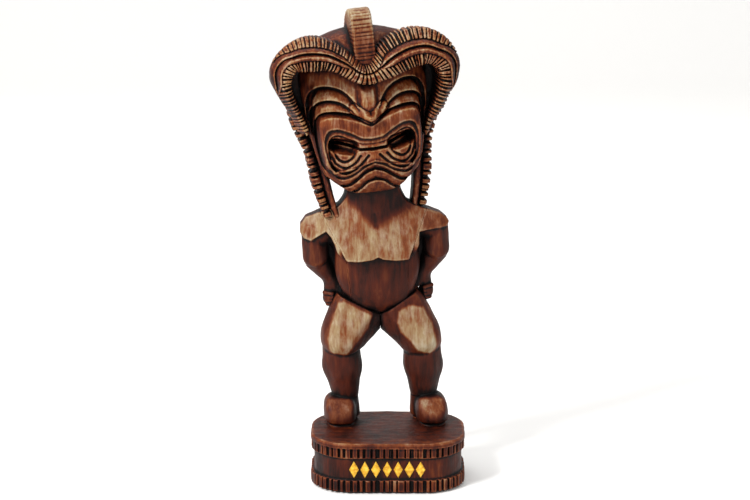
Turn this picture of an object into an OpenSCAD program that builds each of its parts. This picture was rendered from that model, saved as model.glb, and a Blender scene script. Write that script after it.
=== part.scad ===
// Carved wooden tiki figure on an oval plinth, built up from doweled wooden blocks.
// +Z is up, -Y is the front, and the origin is the middle of the felt's underside.
// "left" and "right" are the figure's own: its left side is at +X.

/* [Plinth] */
// Width of the plinth, side to side
plinth_w = 98.6; // [90:0.2:110]
// Depth of the plinth, front to back
plinth_d = 72; // [68:0.5:84]
// Height of the plinth's top face above the surface it stands on
plinth_h = 33; // [30:0.5:36]
// Radius of the plinth's corners, seen from above
plinth_corner = 27; // [18:0.5:30]
// How far the two notched rims stand out from the plain panel between them
rim_step = 1.2; // [0.6:0.1:1.6]
// Height of the lower notched rim
lower_rim_h = 7.6; // [5:0.2:8.4]
// Height of the upper notched rim
upper_rim_h = 9.4; // [8:0.2:11]
// Spacing of the notches along the rims
notch_pitch = 5.3; // [4.6:0.1:6]
// Thickness of the felt under the plinth
felt_t = 1.2; // [1:0.1:2]

/* [Pose] */
// Angle by which the whole figure leans to its own right
lean = 3.3; // [0:0.1:4]
// Angle by which the whole figure is turned to its own left on the plinth
turn = 4.3; // [0:0.1:6]
// Further lean of the head
head_lean = 2.6; // [0:0.1:3]
// Turn of the head towards its own left
head_turn = 4; // [0:0.5:5]

/* [Figure] */
// Distance of each leg's middle from the figure's centre plane
leg_x = 25; // [24:0.25:26]
// Half the width across the shoulders, over the arms
arm_x = 40; // [39:0.25:41]
// Height of the crest's top in the figure's own frame
crest_top = 303; // [301:0.25:304]
// Width of the crest
crest_w = 13.8; // [12:0.2:18]

/* [Joints] */
// Radius of the neck dowel
neck_dowel_r = 4; // [3:0.25:5]
// Radius of the hip dowels
hip_dowel_r = 2.5; // [2:0.25:3]
// Radius of the shoulder, headdress and foot dowels
dowel_r = 2; // [1.5:0.25:2.25]
// Radius of the small pins in the hands, tresses and crest
pin_r = 1; // [0.8:0.05:1.25]
// Radial clearance of a dowel in its hole
dowel_fit = 0.05; // [0.03:0.01:0.1]

/* [Hidden] */

$fn = 48;
hull_fn = 24;
far = 400;

// Height of the figure's soles in its own frame, which stands on the plinth's top
sole_z = 31;

// The head leans and turns about this point, just above the neck.
head_pivot = [0, 0, 195];

// The body's middle line stands behind the plinth's centre.
body_y = 13;

// Finishes
DARK_WOOD = "#4a2618";
MID_WOOD = "#6b3a22";
PALE_WOOD = "#a9744a";
HEAD_WOOD = "#7c4728";
GILT = "#e0a820";
DOWEL_WOOD = "#d9b98a";
FELT = "#1f2a22";
STEEL = "#b8bcc0";

// ---------- placing ----------

module figure_frame() {
    translate([0, 0, plinth_h]) rotate([0, 0, turn]) rotate([0, -lean, 0])
        translate([0, 0, -sole_z]) children();
}

module head_frame() {
    figure_frame()
        translate(head_pivot) rotate([0, -head_lean, 0]) rotate([0, 0, head_turn])
            translate(-head_pivot) children();
}

// side is 1 for the figure's left and -1 for its right
module on_side(side) {
    if (side > 0) children();
    else mirror([1, 0, 0]) children();
}

// A side's own place under its foot, on the turned figure
module under_foot(side) {
    rotate([0, 0, turn]) on_side(side) children();
}

module ball(p, r) {
    translate(p) sphere(r, $fn = hull_fn);
}

module pebble(p, s) {
    translate(p) scale(s) sphere(1, $fn = hull_fn);
}

// A round rod between two points
module rod(a, b, r) {
    d = b - a;
    length = norm(d);
    translate(a) rotate([0, acos(d[2] / length), atan2(d[1], d[0])]) cylinder(h = length, r = r);
}

// ---------- dowels, pins and screws: one place for each rod and its hole ----------

neck_dowel_at = [[0, body_y - 1, 172], [0, body_y - 1, 208]];
hip_dowel_at = [[18, body_y + 1, 92], [13, body_y + 1, 120]];
shoulder_dowel_at = [[17, body_y - 2, 160], [41, body_y - 2, 157]];
headdress_dowel_at = [[20, 8, 266], [47, 8, 266]];
tress_pin_at = [[43.5, 9, 232], [46.5, 8, 252]];
hand_pin_at = [[14, 17, 120], [32, 20, 115]];
foot_dowel_at = [[leg_x, 23, plinth_h - 9], [leg_x, 23, plinth_h + 9]];

screw_at = [leg_x + 1, body_y - 1];
screw_head_r = 4;
screw_head_h = 2.6;
screw_r = 2;
screw_length = 34;
screw_seat = 9;

module crest_pin_rods(r) {
    rod([0, 2, 271], [0, 0, 292], r);
    rod([0, 20, 262], [0, 24, 280], r);
}

module screw_holes(clear) {
    for (side = [1, -1])
        under_foot(side) translate([screw_at[0], screw_at[1], 0]) {
            cylinder(h = felt_t + screw_seat, r = screw_head_r + 0.4);
            cylinder(h = plinth_h + 1, r = screw_r + clear);
        }
}

module foot_screws() {
    color(STEEL) for (side = [1, -1])
        under_foot(side) translate([screw_at[0], screw_at[1], felt_t + screw_seat - screw_head_h]) difference() {
            union() {
                cylinder(h = screw_head_h, r1 = screw_head_r, r2 = screw_head_r - 0.2);
                cylinder(h = screw_length - 4, r = screw_r);
                translate([0, 0, screw_length - 4]) cylinder(h = 4, r1 = screw_r, r2 = 0.3);
            }
            for (turn = [0, 90])
                rotate([0, 0, turn]) translate([-2.4, -0.45, -0.1]) cube([4.8, 0.9, 1.5]);
        }
}

module neck_dowel() {
    color(DOWEL_WOOD) figure_frame() rod(neck_dowel_at[0], neck_dowel_at[1], neck_dowel_r);
}

module hip_dowels() {
    color(DOWEL_WOOD) figure_frame() for (side = [1, -1])
        on_side(side) rod(hip_dowel_at[0], hip_dowel_at[1], hip_dowel_r);
}

module shoulder_dowels() {
    color(DOWEL_WOOD) figure_frame() for (side = [1, -1])
        on_side(side) rod(shoulder_dowel_at[0], shoulder_dowel_at[1], dowel_r);
}

module headdress_dowels() {
    color(DOWEL_WOOD) head_frame() for (side = [1, -1])
        on_side(side) rod(headdress_dowel_at[0], headdress_dowel_at[1], dowel_r);
}

module crest_pins() {
    color(DOWEL_WOOD) head_frame() crest_pin_rods(pin_r);
}

module tress_pins() {
    color(DOWEL_WOOD) head_frame() for (side = [1, -1])
        on_side(side) rod(tress_pin_at[0], tress_pin_at[1], pin_r);
}

module hand_pins() {
    color(DOWEL_WOOD) figure_frame() for (side = [1, -1])
        on_side(side) rod(hand_pin_at[0], hand_pin_at[1], pin_r);
}

module foot_dowels() {
    color(DOWEL_WOOD) for (side = [1, -1])
        under_foot(side) rod(foot_dowel_at[0], foot_dowel_at[1], dowel_r);
}

// ---------- plinth ----------

// A slab with round corners, inset from the plinth's outline
module plinth_slab(inset, z0, z1) {
    w = plinth_w - 2 * inset;
    d = plinth_d - 2 * inset;
    r = plinth_corner - inset;
    translate([0, 0, z0]) {
        translate([-w / 2 + r, -d / 2, 0]) cube([w - 2 * r, d, z1 - z0]);
        translate([-w / 2, -d / 2 + r, 0]) cube([w, d - 2 * r, z1 - z0]);
        for (sx = [1, -1], sy = [1, -1])
            translate([sx * (w / 2 - r), sy * (d / 2 - r), 0]) cylinder(h = z1 - z0, r = r, $fn = 96);
    }
}

// Places children at even steps round the plinth's outline, facing outwards along +X
module round_the_plinth() {
    straight_x = plinth_w - 2 * plinth_corner;
    straight_y = plinth_d - 2 * plinth_corner;
    arc = PI / 2 * plinth_corner;
    nx = round(straight_x / notch_pitch);
    ny = round(straight_y / notch_pitch);
    na = round(arc / notch_pitch);
    for (turn = [0, 180]) rotate([0, 0, turn]) {
        for (i = [0:nx - 1])
            translate([-straight_x / 2 + (i + 0.5) * straight_x / nx, -plinth_d / 2, 0])
                rotate([0, 0, -90]) children();
        for (i = [0:ny - 1])
            translate([plinth_w / 2, -straight_y / 2 + (i + 0.5) * straight_y / ny, 0]) children();
        for (corner = [0, 1], i = [0:na - 1])
            translate([straight_x / 2, (corner - 0.5) * straight_y, 0])
                rotate([0, 0, (corner - 1) * 90 + (i + 0.5) * 90 / na])
                    translate([plinth_corner, 0, 0]) children();
    }
}

notch_w = 2;
lip_h = 3;

module plinth() {
    color(MID_WOOD) difference() {
        union() {
            plinth_slab(0, felt_t, felt_t + lower_rim_h);
            plinth_slab(rim_step, felt_t, plinth_h);
            plinth_slab(0, plinth_h - upper_rim_h, plinth_h);
        }
        round_the_plinth() {
            translate([-rim_step, -notch_w / 2, felt_t - 1]) cube([4, notch_w, lower_rim_h]);
            translate([-rim_step, -notch_w / 2, plinth_h - upper_rim_h - 1])
                cube([4, notch_w, upper_rim_h - lip_h + 1]);
        }
        screw_holes(0.3);
        for (side = [1, -1])
            under_foot(side) rod(foot_dowel_at[0], foot_dowel_at[1], dowel_r + dowel_fit);
        motif_tiles(0.05);
    }
}

module felt_pad() {
    color(FELT) plinth_slab(3, 0, felt_t);
}

motif_count = 7;
motif_x = -0.4;
motif_pitch = 7;
motif_w = 5.4;
motif_h = 10.4;
motif_z = 16;
motif_proud = 0.5;

// Row of lozenges let into the front panel
module motif_tiles(grow) {
    for (i = [0:motif_count - 1])
        translate([
            motif_x + (i - (motif_count - 1) / 2) * motif_pitch,
            -plinth_d / 2 + rim_step + 0.6,
            motif_z
        ])
            rotate([90, 0, 0]) linear_extrude(0.6 + motif_proud)
                polygon([
                    [-motif_w / 2 - grow, 0], [0, -motif_h / 2 - grow],
                    [motif_w / 2 + grow, 0], [0, motif_h / 2 + grow]
                ]);
}

module front_motif() {
    color(GILT) motif_tiles(0);
}

// ---------- legs ----------

ankle_z = 52;

module thigh_form() {
    hull() {
        ball([13, body_y + 2, 107], 12);
        ball([21.5, body_y, 107], 10);
        ball([leg_x - 8.5, 1.5, 92.5], 4.5);
        ball([leg_x + 8.5, 1.5, 90.5], 4.5);
        ball([leg_x - 7.5, body_y + 1, 90], 8);
        ball([leg_x + 5, body_y + 1, 88], 8.5);
    }
}

module shin_form() {
    hull() {
        ball([leg_x - 6, 9, 81], 7.5);
        ball([leg_x + 6, 9, 81], 7.5);
        ball([leg_x + 0.5, body_y + 2, 69], 12.3);
        ball([leg_x - 1, body_y + 1.5, ankle_z + 1], 9.2);
    }
}

module foot_form() {
    hull() {
        pebble([leg_x + 3.5, 10, sole_z + 4.5], [11.8, 9, 7]);
        pebble([leg_x - 1, 22, sole_z + 5], [9.5, 7.5, 7]);
        ball([leg_x - 0.5, body_y + 2, ankle_z - 6], 7.5);
    }
}

// Everything under the slanted joint between the thigh and the hips
module below_hips(gap) {
    translate([0, far / 2, 0]) rotate([90, 0, 0]) linear_extrude(far)
        polygon([
            [0.2 + gap, 0], [0.2 + gap, 100], [40, 124 - gap], [80, 124 - gap], [80, 0]
        ]);
}

module leg_form() {
    intersection() {
        union() {
            thigh_form();
            shin_form();
        }
        below_hips(0);
    }
}

module leg(side) {
    color(MID_WOOD) difference() {
        figure_frame() on_side(side) {
            leg_form();
            foot_form();
        }
        translate([-far / 2, -far / 2, plinth_h - far]) cube(far);
        figure_frame() on_side(side) rod(hip_dowel_at[0], hip_dowel_at[1], hip_dowel_r + dowel_fit);
        under_foot(side) {
            rod(foot_dowel_at[0], foot_dowel_at[1], dowel_r + dowel_fit);
            translate([screw_at[0], screw_at[1], 0])
                cylinder(h = felt_t + screw_seat - screw_head_h + screw_length + 0.5, r = screw_r + dowel_fit);
        }
    }
}

// ---------- torso ----------

module chest_form() {
    hull() {
        for (side = [1, -1]) on_side(side) {
            ball([20, -3.5, 149.5], 3.2);
            ball([26, 2, 158], 5);
            ball([23, 21, 152], 8);
            ball([31, body_y, 165], 8);
            ball([14, body_y, 173], 9);
        }
        ball([0, -5, 149.5], 3.2);
    }
}

module belly_form() {
    hull() {
        for (side = [1, -1]) on_side(side) {
            ball([15, 10, 143], 12.5);
            ball([12, 10, 124], 12.5);
            ball([15, 18, 113], 12);
        }
        ball([0, 6.5, 116], 9.5);
    }
}

module neck_form() {
    hull() {
        pebble([0, body_y - 1, 174], [24, 14, 8]);
        pebble([0, body_y - 2, neck_cut - 2], [18, 13.5, 6]);
    }
}

neck_cut = 191;

// The arms lie outside this slanted plane
module arm_side(gap) {
    translate([0, far / 2, 0]) rotate([90, 0, 0]) linear_extrude(far)
        polygon([
            [20 + gap, 140], [20 + gap, 144], [34 + gap, 174], [34 + gap, 200], [90, 200], [90, 140]
        ]);
}

module torso_form() {
    difference() {
        chest_form();
        for (side = [1, -1]) on_side(side) arm_side(0);
    }
    belly_form();
    difference() {
        neck_form();
        translate([-far / 2, -far / 2, neck_cut]) cube(far);
    }
}

module torso() {
    color(PALE_WOOD) figure_frame() difference() {
        torso_form();
        for (side = [1, -1]) on_side(side) {
            below_hips(0);
            rod(hip_dowel_at[0], hip_dowel_at[1], hip_dowel_r + dowel_fit);
            rod(shoulder_dowel_at[0], shoulder_dowel_at[1], dowel_r + dowel_fit);
            rod(hand_pin_at[0], hand_pin_at[1], pin_r + dowel_fit);
        }
        rod(neck_dowel_at[0], neck_dowel_at[1], neck_dowel_r + dowel_fit);
    }
}

// ---------- arms ----------

module upper_arm_form() {
    hull() {
        ball([31, body_y, 165], 7.8);
        ball([arm_x - 1.5, body_y - 3, 159.5], 8.3);
        ball([arm_x - 0.5, body_y - 1, 147], 8.7);
        ball([26, 14, 152], 8);
    }
}

module forearm_form() {
    hull() {
        ball([arm_x - 1.5, body_y + 1, 143], 8.5);
        ball([32, 19, 127], 7);
        ball([24, 20, 137], 8);
    }
}

module hand_form() {
    hull() {
        ball([31, 20, 122], 5.5);
        ball([31, 18.5, 114.5], 4.8);
        ball([26, 20, 118], 5);
    }
}

module arm(side) {
    color(MID_WOOD) figure_frame() on_side(side) difference() {
        union() {
            upper_arm_form();
            forearm_form();
            hand_form();
        }
        torso_form();
        leg_form();
        rod(shoulder_dowel_at[0], shoulder_dowel_at[1], dowel_r + dowel_fit);
        rod(hand_pin_at[0], hand_pin_at[1], pin_r + dowel_fit);
    }
}

// ---------- head ----------

dome_at = [0, 11, 257];
dome_size = [39, 23, 33.5];

// The skull, optionally grown outwards
module skull_form(grow = 0) {
    hull() {
        pebble(dome_at, dome_size + [grow, grow, grow]);
        pebble([0, 5, 246], [37.5, 19, 16] + [grow, grow, grow]);
        pebble([0, 3, 216], [32.5, 19, 14] + [grow, grow, grow]);
        pebble([0, -2, 199.5], [20, 14.5, 8] + [grow, grow, grow]);
        pebble([0, body_y - 2, 199], [19, 14, 9.5] + [grow, grow, grow]);
    }
}

module nose_form() {
    hull() {
        ball([0, -11.5, 258], 3.5);
        pebble([0, -16, 241], [10.5, 4.5, 3.5]);
        pebble([0, -16.5, 238], [5, 4.5, 3.2]);
    }
}

// Bands carved proud of the face, each between an outer and an inner edge seen from the front
brow_edges = [
    [[[9.5, 247], [15, 258], [33, 259], [36.5, 246]]],
    [[[13, 243.5], [18, 251.5], [31, 251], [34, 240]]],
    [[[8.5, 238], [18, 243.5], [30, 243.5], [33.5, 231]]]
];
lip_outer = [
    [[0, 233], [12, 235], [11, 240.5], [22, 240.5]],
    [[22, 240.5], [38, 240.5], [34, 199], [21, 199]],
    [[21, 199], [13, 199], [9, 208], [0, 208]]
];
lip_inner = [
    [[0, 225], [10, 225], [14, 232], [22, 232]],
    [[22, 232], [32, 232], [28, 206], [20, 206]],
    [[20, 206], [12, 206], [9, 215.5], [0, 215.5]]
];
chin_outer = [[[0, 205], [8, 205], [11, 196], [20, 195]]];
chin_inner = [[[0, 198], [6, 198], [8, 191], [15, 189]]];
brow_proud = 2;
lip_proud = 3.4;
chin_proud = 1.6;
band_gap = 0.12;

// A band of the face between two edges, with a groove left along each
module face_band(outer, inner, proud) {
    intersection() {
        skull_form(proud);
        front_plate(strip(outer, inner, 0, len(outer), band_gap, 1 - band_gap, 8 * len(outer)), -60, 0);
    }
}

module face_bands() {
    for (side = [1, -1]) on_side(side) {
        for (i = [0, 1]) face_band(brow_edges[i], brow_edges[i + 1], brow_proud);
        face_band(lip_outer, lip_inner, lip_proud);
        face_band(chin_outer, chin_inner, chin_proud);
    }
}

// The mouth: a hollow in each corner, joined by the line between the lips
mouth_x = 18;
mouth_z = 220;
mouth_r = 5.5;
mouth_y = -11;

module mouth_hollow() {
    for (side = [1, -1])
        on_side(side) translate([mouth_x, mouth_y, mouth_z]) rotate([90, 0, 0]) cylinder(h = 20, r = mouth_r);
    translate([-mouth_x, mouth_y - 20, mouth_z - 1.5]) cube([2 * mouth_x, 20, 2.4]);
}

module head() {
    color(HEAD_WOOD) difference() {
        head_frame() difference() {
            union() {
                skull_form();
                nose_form();
                face_bands();
            }
            mouth_hollow();
            crest_form();
            for (side = [1, -1])
                on_side(side) rod(headdress_dowel_at[0], headdress_dowel_at[1], dowel_r + dowel_fit);
            crest_pin_rods(pin_r + dowel_fit);
        }
        figure_frame() {
            translate([-far / 2, -far / 2, neck_cut - far]) cube(far);
            rod(neck_dowel_at[0], neck_dowel_at[1], neck_dowel_r + dowel_fit);
        }
    }
}

// ---------- headdress ----------

// Cubic Bezier point
function bez(p, t) =
    pow(1 - t, 3) * p[0] + 3 * pow(1 - t, 2) * t * p[1] + 3 * (1 - t) * t * t * p[2] + pow(t, 3) * p[3];

// A path of joined Bezier pieces, with t from 0 to the number of pieces
function path(pieces, t) =
    let (i = min(floor(t), len(pieces) - 1))
    bez(pieces[i], t - i);

// Outer and inner edges of one wing, seen from the front: dip, crown, side, lower end
wing_outer = [
    [[0, 276], [14, 278], [20, 289.5], [36, 289.5]],
    [[36, 289.5], [50, 289.5], [57, 281], [57, 268]],
    [[57, 268], [57, 257], [53, 250], [50, 243]]
];
wing_inner = [
    [[0, 259], [10, 260], [14, 271.5], [28, 271.5]],
    [[28, 271.5], [38, 271.5], [43, 266], [42.5, 258]],
    [[42.5, 258], [42, 252], [40, 248], [38, 243]]
];
wing_steps = 8;

function across(outer, inner, t, s) = path(outer, t) * (1 - s) + path(inner, t) * s;

// Strip of a wing or tress from s0 to s1 across its width and t0 to t1 along it
function strip(outer, inner, t0, t1, s0, s1, steps) = concat(
    [for (i = [0:steps]) across(outer, inner, t0 + (t1 - t0) * i / steps, s0)],
    [for (i = [steps:-1:0]) across(outer, inner, t0 + (t1 - t0) * i / steps, s1)]
);

// Extrudes a front outline from y0 to y1
module front_plate(points, y0, y1) {
    translate([0, y1, 0]) rotate([90, 0, 0]) linear_extrude(y1 - y0) polygon(points);
}

// Bands across the wing: [from, to, how far forward the front lies]
wing_bands = [[0, 0.32, -20], [0.32, 0.5, -23], [0.5, 0.68, -24.5], [0.68, 1, -24]];
notched_bands = [0, 3];
wing_teeth = 18;
tooth_share = 0.6;
tooth_rise = 1.6;
wing_back = -5;
web_front = -9;
web_back = 9;

// The bands stand forward of a web that closes the space between them and the skull.
module wing_form() {
    front_plate(
        concat([for (i = [0:3 * wing_steps]) path(wing_outer, i / wing_steps)], [[30, 243], [0, 256]]),
        web_front, web_back
    );
    for (b = wing_bands)
        front_plate(strip(wing_outer, wing_inner, 0, 3, b[0], b[1], 3 * wing_steps), b[2], wing_back);
    for (n = notched_bands, i = [0:wing_teeth - 1]) {
        b = wing_bands[n];
        t = (i + 0.2) * 3 / wing_teeth;
        front_plate(
            strip(wing_outer, wing_inner, t, t + tooth_share * 3 / wing_teeth, b[0], b[1], 1),
            b[2] - tooth_rise, b[2] + 1
        );
    }
}

module headdress(side) {
    color(DARK_WOOD) head_frame() on_side(side) difference() {
        intersection() {
            wing_form();
            translate([0, -20, 250]) scale([70, 36, 50]) sphere(1, $fn = 64);
            translate([0.1, -60, 200]) cube([80, 120, 120]);
        }
        skull_form();
        crest_form();
        rod(headdress_dowel_at[0], headdress_dowel_at[1], dowel_r + dowel_fit);
        rod(tress_pin_at[0], tress_pin_at[1], pin_r + dowel_fit);
    }
}

// ---------- crest ----------

crest_outer = [
    [[-18, 266], [-18.5, 276], [-18, 288], [-17, 297]],
    [[-17, 297], [-16.5, 302], [-13, crest_top], [-8, crest_top]],
    [[-8, crest_top], [12, crest_top], [35, 289], [36, 262]]
];
crest_inner = [[28, 252], [24, 268], [12, 279], [-4, 280], [-12, 272], [-14, 266]];
crest_x = 1.2;
crest_ribs = 10;
rib_pitch = 3.4;
rib_z = 269;

// The crest's outline from the side, as y and z, swept across its width
module crest_form() {
    translate([crest_x - crest_w / 2, 0, 0]) rotate([90, 0, 90]) linear_extrude(crest_w)
        polygon(concat([for (i = [0:24]) path(crest_outer, i / 8)], crest_inner));
}

module crest() {
    color(PALE_WOOD) head_frame() difference() {
        crest_form();
        for (i = [0:crest_ribs - 1])
            translate([crest_x, -18.8, rib_z + i * rib_pitch]) rotate([0, 90, 0])
                cylinder(h = crest_w + 2, r = 1.1, center = true, $fn = 16);
        crest_pin_rods(pin_r + dowel_fit);
    }
}

// ---------- tresses ----------

tress_outer = [
    [[50, 243], [46, 233], [41, 226], [39, 213]],
    [[39, 213], [37, 202], [36, 190], [31, 173]]
];
tress_inner = [
    [[38, 243], [37, 233], [32, 226], [29, 213]],
    [[29, 213], [26.5, 202], [25, 190], [21, 173]]
];
tress_bands = [[0, 0.5, 4], [0.5, 1, 1]];
tress_teeth = 15;
tress_back = 17;

module tress_form() {
    for (b = tress_bands)
        front_plate(strip(tress_outer, tress_inner, 0, 2, b[0], b[1], 12), b[2], tress_back);
    for (i = [0:tress_teeth - 1]) {
        t = (i + 0.2) * 2 / tress_teeth;
        front_plate(
            strip(tress_outer, tress_inner, t, t + tooth_share * 2 / tress_teeth, -0.14, 0.5, 1),
            tress_bands[0][2] - tooth_rise, tress_back - 2
        );
    }
}

module tress(side) {
    color(DARK_WOOD) difference() {
        head_frame() on_side(side) difference() {
            tress_form();
            skull_form();
            rod(tress_pin_at[0], tress_pin_at[1], pin_r + dowel_fit);
        }
        figure_frame() {
            chest_form();
            on_side(side) upper_arm_form();
        }
    }
}

module left_leg() { leg(1); }
module right_leg() { leg(-1); }
module left_arm() { arm(1); }
module right_arm() { arm(-1); }
module left_headdress() { headdress(1); }
module right_headdress() { headdress(-1); }
module left_tress() { tress(1); }
module right_tress() { tress(-1); }

felt_pad();
plinth();
front_motif();
left_leg();
right_leg();
torso();
left_arm();
right_arm();
head();
left_headdress();
right_headdress();
crest();
left_tress();
right_tress();
neck_dowel();
hip_dowels();
shoulder_dowels();
headdress_dowels();
crest_pins();
tress_pins();
hand_pins();
foot_dowels();
foot_screws();
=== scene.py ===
"""Carved wooden tiki figure on a notched oval plinth.

Every wooden piece is carved as a distance field in its own frame, meshed, tooled with gouge marks and
dressed as stained wood that has been rubbed back along its ridges, with painted shade in its hollows and
painted light, highlight and sheen on its faces. Lengths in the fields are millimetres.
"""
import logging
import math
from collections.abc import Sequence
from dataclasses import dataclass, field
from enum import Enum

import bpy
import numpy as np
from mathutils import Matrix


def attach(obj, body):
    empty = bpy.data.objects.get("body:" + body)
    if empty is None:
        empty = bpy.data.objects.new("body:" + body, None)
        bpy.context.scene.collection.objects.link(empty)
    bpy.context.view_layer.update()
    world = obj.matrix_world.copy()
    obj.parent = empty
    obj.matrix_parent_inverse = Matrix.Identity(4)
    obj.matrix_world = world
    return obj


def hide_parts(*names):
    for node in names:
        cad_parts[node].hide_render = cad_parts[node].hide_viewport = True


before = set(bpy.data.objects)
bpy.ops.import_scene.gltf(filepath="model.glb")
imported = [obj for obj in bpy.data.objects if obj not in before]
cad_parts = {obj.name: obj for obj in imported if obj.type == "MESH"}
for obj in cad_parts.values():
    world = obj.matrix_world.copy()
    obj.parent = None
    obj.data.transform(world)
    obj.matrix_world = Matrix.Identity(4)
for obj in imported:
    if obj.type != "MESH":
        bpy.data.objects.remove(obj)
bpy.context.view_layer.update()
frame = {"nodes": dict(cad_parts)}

import openvdb as vdb
from mathutils import Vector

Array = np.ndarray
Point = tuple[float, ...]
log = logging.getLogger("tiki")

MM = 0.001  # a millimetre in metres
FAR = 1e3  # further than any point of the figure, in millimetres
BAND = 3.0  # lattice steps within which a field is kept for meshing
BODY = "root"
PLINTH_TOP = 33.0

# The figure is carved upright with its soles at SOLE_Z, then leans and turns as it is set on the plinth.
# The head leans and turns a little further about its pivot.
SOLE_Z = 31.0
LEAN = math.radians(3.3)
TURN = math.radians(4.3)
HEAD_LEAN = math.radians(2.6)
HEAD_TURN = math.radians(4.0)
HEAD_PIVOT = np.array([0.0, 0.0, 195.0])

# Multipliers of the integer hash behind the carving's random numbers.
CELL_PRIMES = np.array([73856093, 19349663, 83492791])
SEED_PRIME = 2654435761
SALTS = (374761393, 668265263, 2246822519)
MIX_PRIME = 2246822519
WORD = 0xFFFFFFFF
FRACTION = 0xFFFFFF


# ---------- frames ----------

def turn_y(angle: float) -> Array:
    """Rotation matrix about +Y."""
    c, s = math.cos(angle), math.sin(angle)
    return np.array([[c, 0, s], [0, 1, 0], [-s, 0, c]])


def turn_z(angle: float) -> Array:
    """Rotation matrix about +Z."""
    c, s = math.cos(angle), math.sin(angle)
    return np.array([[c, -s, 0], [s, c, 0], [0, 0, 1]])


class Frame(Enum):
    """The frame that a piece is carved in."""

    PLINTH = "plinth"
    FIGURE = "figure"
    HEAD = "head"

    def to_row(self, p: Array) -> Array:
        """Takes points from this frame to the row frame.

        Args:
            p: points as rows, in millimetres.

        Returns:
            The points in the row frame, in millimetres.
        """
        if self is Frame.HEAD:
            p = (p - HEAD_PIVOT) @ (turn_y(-HEAD_LEAN) @ turn_z(HEAD_TURN)).T + HEAD_PIVOT
        if self is not Frame.PLINTH:
            p = (p - [0, 0, SOLE_Z]) @ (turn_z(TURN) @ turn_y(-LEAN)).T + [0, 0, PLINTH_TOP]
        return p


# ---------- curves and fields ----------

def spline(points: Sequence[Point], per_span: int = 8) -> Array:
    """Smooth curve through points (Catmull-Rom).

    Args:
        points: control points.
        per_span: samples in each span.

    Returns:
        The sampled curve, one point a row.
    """
    p = np.asarray(points, float)
    p = np.vstack([2 * p[0] - p[1], p, 2 * p[-1] - p[-2]])
    t = np.linspace(0, 1, per_span, endpoint=False)[:, None]
    spans = [
        0.5 * (2 * b + (c - a) * t + (2 * a - 5 * b + 4 * c - d) * t**2 + (3 * b - a - 3 * c + d) * t**3)
        for a, b, c, d in zip(p, p[1:], p[2:], p[3:])
    ]
    return np.vstack([*spans, p[-2:-1]])


@dataclass
class Trace:
    """How each point of a flat map lies against a curve: distance, side (1 or -1) and length along."""

    distance: Array
    side: Array
    along: Array


def trace(u: Array, v: Array, curve: Array) -> Trace:
    """Measures a flat map against a curve.

    Args:
        u: first coordinate of each map point.
        v: second coordinate.
        curve: the curve's points.

    Returns:
        The trace, with side 1 to the left of the curve's run.
    """
    u, v = np.broadcast_arrays(u, v)
    best = np.full(u.shape, FAR**2, np.float32)
    side = np.ones(u.shape, np.float32)
    along = np.zeros(u.shape, np.float32)
    run = 0.0
    for (ax, ay), (bx, by) in zip(curve, curve[1:]):
        dx, dy = bx - ax, by - ay
        span = math.hypot(dx, dy)
        if span < 1e-9:
            continue
        t = np.clip(((u - ax) * dx + (v - ay) * dy) / span**2, 0, 1)
        ex, ey = u - ax - t * dx, v - ay - t * dy
        d2 = ex * ex + ey * ey
        near = d2 < best
        best = np.where(near, d2, best)
        side = np.where(near, np.where(dx * ey - dy * ex >= 0, 1.0, -1.0), side)
        along = np.where(near, run + t * span, along)
        run += span
    return Trace(np.sqrt(best), side, along)


def outline(u: Array, v: Array, ring: Array) -> Array:
    """Signed distance to a closed outline, negative inside.

    Args:
        u: first coordinate of each map point.
        v: second coordinate.
        ring: the outline's points, without the first repeated.

    Returns:
        The signed distance at each map point.
    """
    closed = np.vstack([ring, ring[:1]])
    u, v = np.broadcast_arrays(u, v)
    inside = np.zeros(u.shape, bool)
    for (ax, ay), (bx, by) in zip(closed, closed[1:]):
        if ay != by:
            inside ^= ((ay > v) != (by > v)) & (u < (bx - ax) * (v - ay) / (by - ay) + ax)
    return np.where(inside, -1.0, 1.0) * trace(u, v, closed).distance


def ease(x: Array, low: float, high: float) -> Array:
    """Smooth step from 0 at low to 1 at high."""
    t = np.clip((x - low) / (high - low), 0, 1)
    return t * t * (3 - 2 * t)


def join(a: Array, b: Array, k: float = 0.5) -> Array:
    """Union of two fields, blended over k."""
    h = np.clip(0.5 + 0.5 * (b - a) / k, 0, 1)
    return b * (1 - h) + a * h - k * h * (1 - h)


def meet(a: Array, b: Array, k: float = 0.5) -> Array:
    """Intersection of two fields, rounded over k."""
    return -join(-a, -b, k)


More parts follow.
